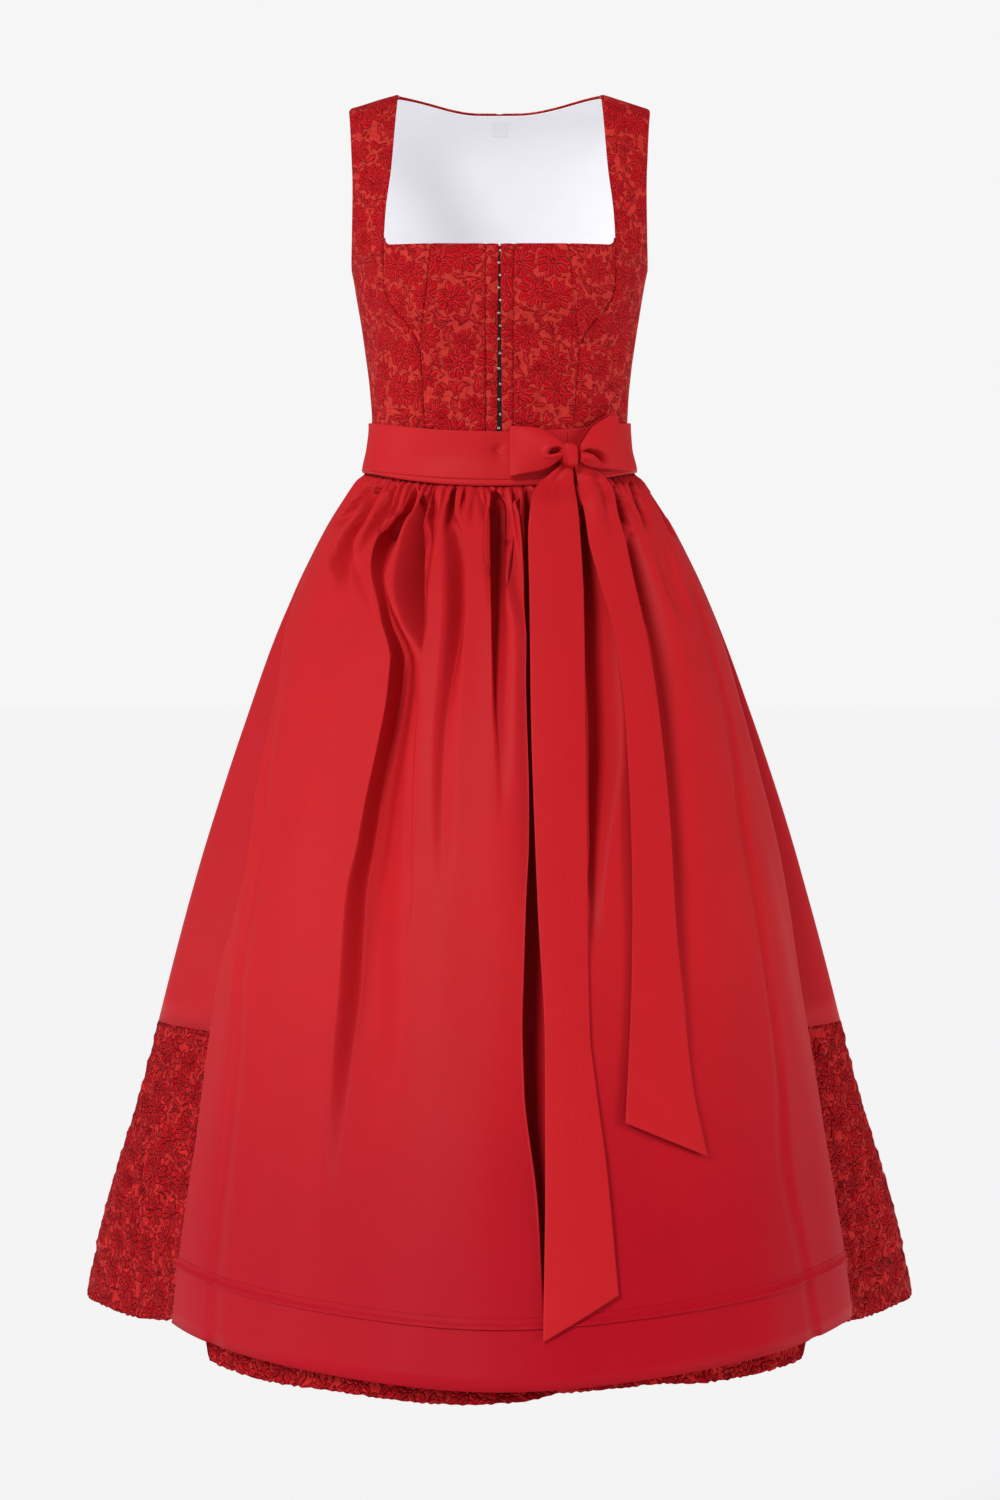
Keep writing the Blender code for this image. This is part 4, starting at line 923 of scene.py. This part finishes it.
def hemSag(angle):
    return apron["sag"] * np.exp(-((angle / 20) ** 2))


def bandBottom(angle):
    return apron["bandBottom"] + apron["bandDrop"] * frontness(angle)


def apronWave(angle, level):
    pitch, seed, height = apron["wave"]
    return rumple(angle * 5.0, level * 0.22, pitch, seed) * height


def apronPlace(across, down):
    fallen = along(apron["rows"], down)
    angle = apronAngle(across, apron["bandBottom"] + fallen)
    top = bandBottom(angle) + 0.3
    level = top + fallen / apron["rows"][-1] * (apron["hem"] + hemSag(angle) - top)
    share = apronShare(angle, level)
    sunk = gathers(share * apron["gathers"], level - top, apron["gathers"], 8, apron["gatherDepth"])
    leftFrom, leftTo, rightFrom, rightTo = apron["fade"]  # at the hips the creases take the gathers' place
    atHips = 1 - ramp(leftFrom, leftTo, share) + ramp(rightFrom, rightTo, share)
    sunk = sunk * (1 - 0.8 * atHips * ramp(4, 14, level - top))
    return offset(apronSurface, angle, level, apronWave(angle, level) * ramp(400, 560, level) - sunk)


layCloth("apron_panel", apronPlace, 440, 3 * (len(apron["rows"]) - 1), "apron", 0.8)


def tuckPlace(across, down):
    level = apron["tuckFold"] - apron["tuckHeight"] * (1 - down)
    angle = apronAngle(across, level)
    level = level + hemSag(angle)
    stitches = 0.35 * np.exp(-((down - 0.12) / 0.06) ** 2)
    rise = 0.35 + 1.6 * ramp(0.25, 0.95, down) - stitches + 0.2 * rumple(angle * 6.0, 0.0, 30.0, 41) * down
    return offset(apronSurface, angle, level, apronWave(angle, level) + rise)


def bandPlace(across, down):
    angle = apronAngle(across, np.full_like(across, apron["bandBottom"]))
    level = apron["bandTop"] + (bandBottom(angle) - apron["bandTop"]) * down
    return offset(torso, angle, level, 1.7 + 2.0 * ramp(346, 357, level))


layCloth("apron_tuck", tuckPlace, 440, 12, "apron", 0.6)
layCloth("apron_waistband", bandPlace, 200, 10, "tie", 0.9)
print("apron made")

sash = {"top": 313.0, "bottom": 358.0, "behind": 0.7, "inFront": 2.3, "flare": 1.2, "wall": 0.8,
        "pinch": (-1.5, 330.0, 3.6),  # x, level and depth of the dent over the opening's end
        "wave": (60.0, 51, 0.22)}


def sashOut(angle, level):
    near = np.where(angle > 180, angle - 360, angle)
    over = ramp(-100, -88, near) * (1 - ramp(88, 100, near))
    out = sash["behind"] + (sash["inFront"] - sash["behind"]) * over + sash["wall"]
    return out + sash["flare"] * ramp(338, 358, level)


def sashPiece(node, start, end, columns):
    def place(across, down):
        angle = start + (end - start) * across
        level = sash["top"] + (sash["bottom"] - sash["top"]) * down
        pinchX, pinchLevel, deep = sash["pinch"]
        x = torso(angle, level)[..., 0] - pinchX
        z = level - pinchLevel
        dent = deep * np.exp(-(x / 3.2) ** 2 - (z / 4.5) ** 2)
        dent = dent + 1.4 * np.exp(-(x / 11) ** 2 - (z / 15) ** 2)
        rays = 0.7 * np.cos(3.0 * np.arctan2(z, x)) * np.exp(-np.hypot(x, z) / 9)
        pitch, seed, height = sash["wave"]
        wave = height * rumple(angle * 2.1, level * 1.4, pitch, seed)
        out = sashOut(angle, level) + wave + (rays - dent) * frontness(angle)
        return offset(torso, angle, level, out)

    layCloth(node, place, columns, 30, "tie", 1.0)


# The knot: its place on the sash, size, tilt in radians, and how far it stands out and to the right
knot = {"x": 63.0, "level": 339.0, "size": (19.5, 17.0, 22.5), "tilt": 0.45, "seat": 3.9, "aside": 4.5,
        "squareness": 0.55, "lean": 0.20}
knotAngle = float(torsoAngle(knot["x"], np.array(knot["level"])))
sashPiece("sash_front_left", -100, knotAngle, 160)
sashPiece("sash_front_right", knotAngle, 100, 90)
sashPiece("sash_back", 100, 260, 120)

# Each loop: a share of its length, x, top level and bottom level from the knot to its far end; how much
# further aside its bottom is; and its mouth's height, lean, length, half height and depth
loops = {
    "left": {"rows": ((0.0, 55.5, 331.0, 339.0), (0.1, 51.7, 325.0, 342.0), (0.2, 48.0, 320.5, 345.0),
                      (0.36, 40.7, 315.0, 349.5), (0.55, 32.0, 311.0, 352.0), (0.8, 20.0, 308.6, 354.0),
                      (1.0, 12.5, 308.2, 356.0)),
             "side": -1.0, "lean": 0.0, "mouth": (-0.15, 0.8, 0.40, 0.38, 11.0)},
    "right": {"rows": ((0.0, 68.0, 330.0, 346.0), (0.15, 73.0, 321.0, 350.5), (0.35, 80.5, 311.5, 354.0),
                       (0.6, 89.0, 306.0, 356.0), (0.8, 94.5, 303.4, 357.5), (1.0, 99.0, 302.6, 358.5)),
              "side": 1.0, "lean": 15.0, "mouth": (-0.30, 2.4, 0.48, 0.24, 9.5)},
    "straight": 0.40,  # the share of the cloth's length in the front layer, and as much in the back one
    "bend": 2.6, "out": 5.4, "belly": 9.0,
}


def makeLoop(word):
    loop = loops[word]
    straight = loops["straight"]
    bend = loops["bend"]

    def place(across, down):
        share = np.clip(np.minimum(across, 1 - across) / straight, 0, 1)
        turn = math.pi * np.clip((across - straight) / (1 - 2 * straight), 0, 1)
        x = curve(loop["rows"], share, 1)
        top = curve(loop["rows"], share, 2)
        bottom = curve(loop["rows"], share, 3)
        level = top + (bottom - top) * down
        x = x + loop["lean"] * down * share + loop["side"] * bend * np.sin(turn)
        out = loops["out"] + bend + bend * np.cos(turn)
        height = down * 2 - 1
        mouthAt, mouthLean, mouthLong, mouthHigh, mouthDeep = loop["mouth"]
        near = 1 - ramp(0.0, 0.5, share)
        mouth = np.hypot(2 * share / mouthLong - 1, (height - mouthAt - mouthLean * share) / mouthHigh)
        belly = loops["belly"] * np.sin(math.pi * share ** 0.6) * (1 - height ** 2) ** 0.8 + 3.4 * near
        valley = mouthDeep * (1 - ramp(0.45, 1.0, mouth)) - 1.2 * np.exp(-((mouth - 1.15) / 0.2) ** 2)
        ridges = 0.9 * np.cos(height * 9.0 + 1.0) * near * ramp(0, 0.1, share)
        rim = 0.5 * np.exp(-((1 - np.abs(height)) / 0.1) ** 2)
        out = out + np.where(across < straight, belly - valley + ridges + rim, 0.0)
        return offset(torso, torsoAngle(x, level), level, out)

    layCloth("bow_loop_" + word, place, 130, 44, "tie", 0.8)


makeLoop("left")
makeLoop("right")

# Each hanging end: level, left edge, right edge, and how far it stands off the apron. Its low edge slants
# to a point on the right; the slant is how much lower one side is. Then the levels between which its top
# curls out, and each curl's height in mm, its place and its width as shares of the end's width.
tails = {
    "left": {
        "rows": (
            (346, 54.0, 64.0, 8.0), (355, 44.0, 64.0, 9.0), (363, 37.2, 65.0, 8.5), (373, 32.0, 66.5, 7.5),
            (391, 26.9, 69.0, 6.0), (416, 25.0, 71.0, 4.5), (480, 26.0, 73.5, 4.0), (568, 26.6, 73.7, 3.5),
            (665, 29.0, 74.0, 3.5), (742, 32.0, 74.0, 3.5), (847, 37.5, 75.0, 3.5), (890, 37.4, 79.4, 3.5),
            (955, 37.0, 87.5, 3.5), (1056, 35.0, 97.0, 3.5)),
        "slant": (33.0, 0.0), "curled": (356, 374, 380, 412), "dent": (3.0, 0.44, 0.14)},
    "right": {
        "rows": (
            (346, 65.0, 76.0, 7.5), (364, 68.0, 93.0, 8.0), (378, 70.2, 101.0, 7.0), (398, 74.5, 104.5, 6.0),
            (424, 78.5, 111.3, 5.0), (456, 86.5, 117.5, 4.5), (520, 101.5, 130.0, 4.0),
            (593, 109.0, 140.0, 3.5), (655, 111.5, 145.5, 3.5), (742, 112.4, 150.0, 3.5),
            (796, 111.4, 155.0, 3.5), (862, 108.0, 161.5, 3.5), (922, 103.8, 173.5, 3.5)),
        "slant": (0.0, 33.0), "curled": (350, 366, 376, 430), "curl": (7.5, 0.32, 0.22),
        "dent": (5.0, 0.72, 0.13)},
}


def bulge(across, height, middle, width):
    return height * np.exp(-((across - middle) / width) ** 2)


def makeTail(word):
    tail = tails[word]
    rows = tail["rows"]
    top = rows[0][0]
    bottom = rows[-1][0]

    def place(across, down):
        row = top + (bottom - top) * down ** 1.25
        left = curve(rows, row, 1)
        right = curve(rows, row, 2)
        x = left + (right - left) * across
        slantLeft, slantRight = tail["slant"]
        slant = slantLeft * (1 - across) + slantRight * across
        level = row + ramp(0.45, 1.0, (row - top) / (bottom - top)) * slant
        start, full, easing, flat = tail["curled"]
        lift = ramp(start, full, row) * (1 - ramp(easing, flat, row))
        if word == "left":  # its left edge turns up, and a dent runs down from the knot
            curl = 7.5 * lift * np.clip((0.40 - across) / 0.40, 0, 1) ** 1.2
            curl = curl - (1 - ramp(0, 90, row - top)) * bulge(across, *tail["dent"])
        else:
            curl = lift * (bulge(across, *tail["curl"]) - bulge(across, *tail["dent"]))
        roll = 0.9 * (1 - (2 * across - 1) ** 2) + 0.5 * rumple(level, 0.0, 190.0, 61)
        out = curve(rows, row, 3) + 1.1 + curl + roll
        low = np.degrees(np.arcsin(np.minimum(1.0, x / apronHalf(x, level))))
        onTorso = offset(torso, torsoAngle(x, level), level, out)
        onApron = offset(apronCrests, low, level, out)
        mix = ramp(342, 390, level)[..., None]
        return onTorso * (1 - mix) + onApron * mix

    layCloth("bow_end_" + word, place, 40, 240, "tie", 0.8)


makeTail("left")
makeTail("right")


# The wrapped middle: a squarish pad with creases along the way the tie runs round it
def makeKnot():
    net = bmesh.new()
    bmesh.ops.create_uvsphere(net, u_segments=64, v_segments=48, radius=0.5)
    at = np.array([knotAngle])
    level = np.array([knot["level"]])
    seat = Vector(offset(torso, at, level, np.array([knot["seat"]]))[0])
    outward = Vector(offset(torso, at, level, np.array([1.0]))[0]) - Vector(torso(at, level)[0])
    outward.normalize()
    aside = outward.cross(Vector((0.0, 0.0, 1.0))).normalized()
    up = aside.cross(outward)
    wide, deep, high = knot["size"]
    for vertex in net.verts:
        x, y, z = [math.copysign(abs(2 * part) ** knot["squareness"], part) / 2 for part in vertex.co]
        turn = x * math.cos(knot["tilt"]) + z * math.sin(knot["tilt"])
        rise = z * math.cos(knot["tilt"]) - x * math.sin(knot["tilt"])
        crease = 0.25 * math.cos(turn * 15.0 + 2.0 * rise) + 7.0 * x ** 2
        crease = crease + 1.6 * math.exp(-((turn - 0.27 - 0.3 * rise) / 0.05) ** 2)
        narrow = 0.92 + 0.36 * z - 0.22 * abs(z)
        right = (x * narrow + knot["lean"] * z) * wide + knot["aside"]
        out = max(y + 0.5, 0.06) * deep - crease * ramp(0.1, 0.6, y + 0.5)
        vertex.co = (seat + aside * right + up * z * high + outward * out) * mm
    layer = net.loops.layers.uv.new("cut")
    for face in net.faces:
        for loop in face.loops:
            away = loop.vert.co - seat * mm
            loop[layer].uv = (away.dot(aside), away.dot(up))
    bmesh.ops.recalc_face_normals(net, faces=net.faces)
    piece = makePiece("bow_knot_cloth", net, finishes["tie"])
    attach(piece, "root")
    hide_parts("bow_knot")


makeKnot()
print("tie and bow made")

studio = {
    "background": 0.9216, "ambient": 0.20,
    # each sun: strength, height, turn and size in degrees, and whether shiny cloth mirrors it; the one on
    # the right would grey the cloth turned to it
    "suns": {"softLeft": (0.76, 12.0, -78.0, 20.0, True), "softRight": (1.28, 12.0, 80.0, 20.0, False),
             "softFront": (1.95, 32.0, -30.0, 20.0, True)},
    "floorLevel": -2.2, "floorRadius": 60.0, "floorColour": (0.85, 0.85, 0.85, 1.0), "floorGlow": 0.34,
    "film": 36.0, "filmAside": 0.0003,
}


def makeFloor():
    net = bmesh.new()
    bmesh.ops.create_circle(net, cap_ends=True, segments=96, radius=studio["floorRadius"],
                            matrix=Matrix.Translation((0, 0, studio["floorLevel"])))
    pale = bpy.data.materials.new("paleFloor")
    pale.use_nodes = True
    shader = pale.node_tree.nodes["Principled BSDF"]
    shader.inputs["Base Color"].default_value = studio["floorColour"]
    shader.inputs["Roughness"].default_value = 0.9
    shader.inputs["Specular IOR Level"].default_value = 0.0
    shader.inputs["Emission Color"].default_value = (1, 1, 1, 1)
    shader.inputs["Emission Strength"].default_value = studio["floorGlow"]
    makePiece("floor", net, pale)


def makeSky():  # the camera sees a paler background than the light that falls on the cloth
    world = bpy.data.worlds.new("studio")
    bpy.context.scene.world = world
    world.use_nodes = True
    tree = world.node_tree
    dome = tree.nodes["Background"]
    seen = tree.nodes.new("ShaderNodeBackground")
    for sky, strength in ((dome, studio["ambient"]), (seen, studio["background"])):
        sky.inputs["Color"].default_value = (1, 1, 1, 1)
        sky.inputs["Strength"].default_value = strength
    path = tree.nodes.new("ShaderNodeLightPath")
    mix = tree.nodes.new("ShaderNodeMixShader")
    tree.links.new(path.outputs["Is Camera Ray"], mix.inputs[0])
    tree.links.new(dome.outputs[0], mix.inputs[1])
    tree.links.new(seen.outputs[0], mix.inputs[2])
    tree.links.new(mix.outputs[0], tree.nodes["World Output"].inputs[0])


def makeSuns():
    for name, (strength, height, turn, size, mirrored) in studio["suns"].items():
        sun = bpy.data.lights.new(name, "SUN")
        sun.energy = strength
        sun.angle = math.radians(size)
        lamp = bpy.data.objects.new(name, sun)
        lamp.rotation_euler = (math.radians(90 - height), 0, math.radians(turn))
        lamp.visible_glossy = mirrored
        bpy.context.scene.collection.objects.link(lamp)


def makeCamera():
    lens = bpy.data.cameras.new("camera")
    lens.sensor_fit = "VERTICAL"
    lens.sensor_height = studio["film"]
    lens.lens = studio["film"] * photo["distance"] / (photo["rows"] * photo["pixel"])
    lens.shift_y = photo["eyeRow"] / photo["rows"] - 0.5
    lens.shift_x = studio["filmAside"]
    view = bpy.data.objects.new("camera", lens)
    view.location = (0, -photo["distance"] * mm, -eyeLevel * mm)
    view.rotation_euler = (math.pi / 2, 0, 0)
    bpy.context.scene.collection.objects.link(view)
    bpy.context.scene.camera = view
    bpy.context.scene.view_settings.view_transform = "Standard"


makeFloor()
makeSky()
makeSuns()
makeCamera()
print("studio made")
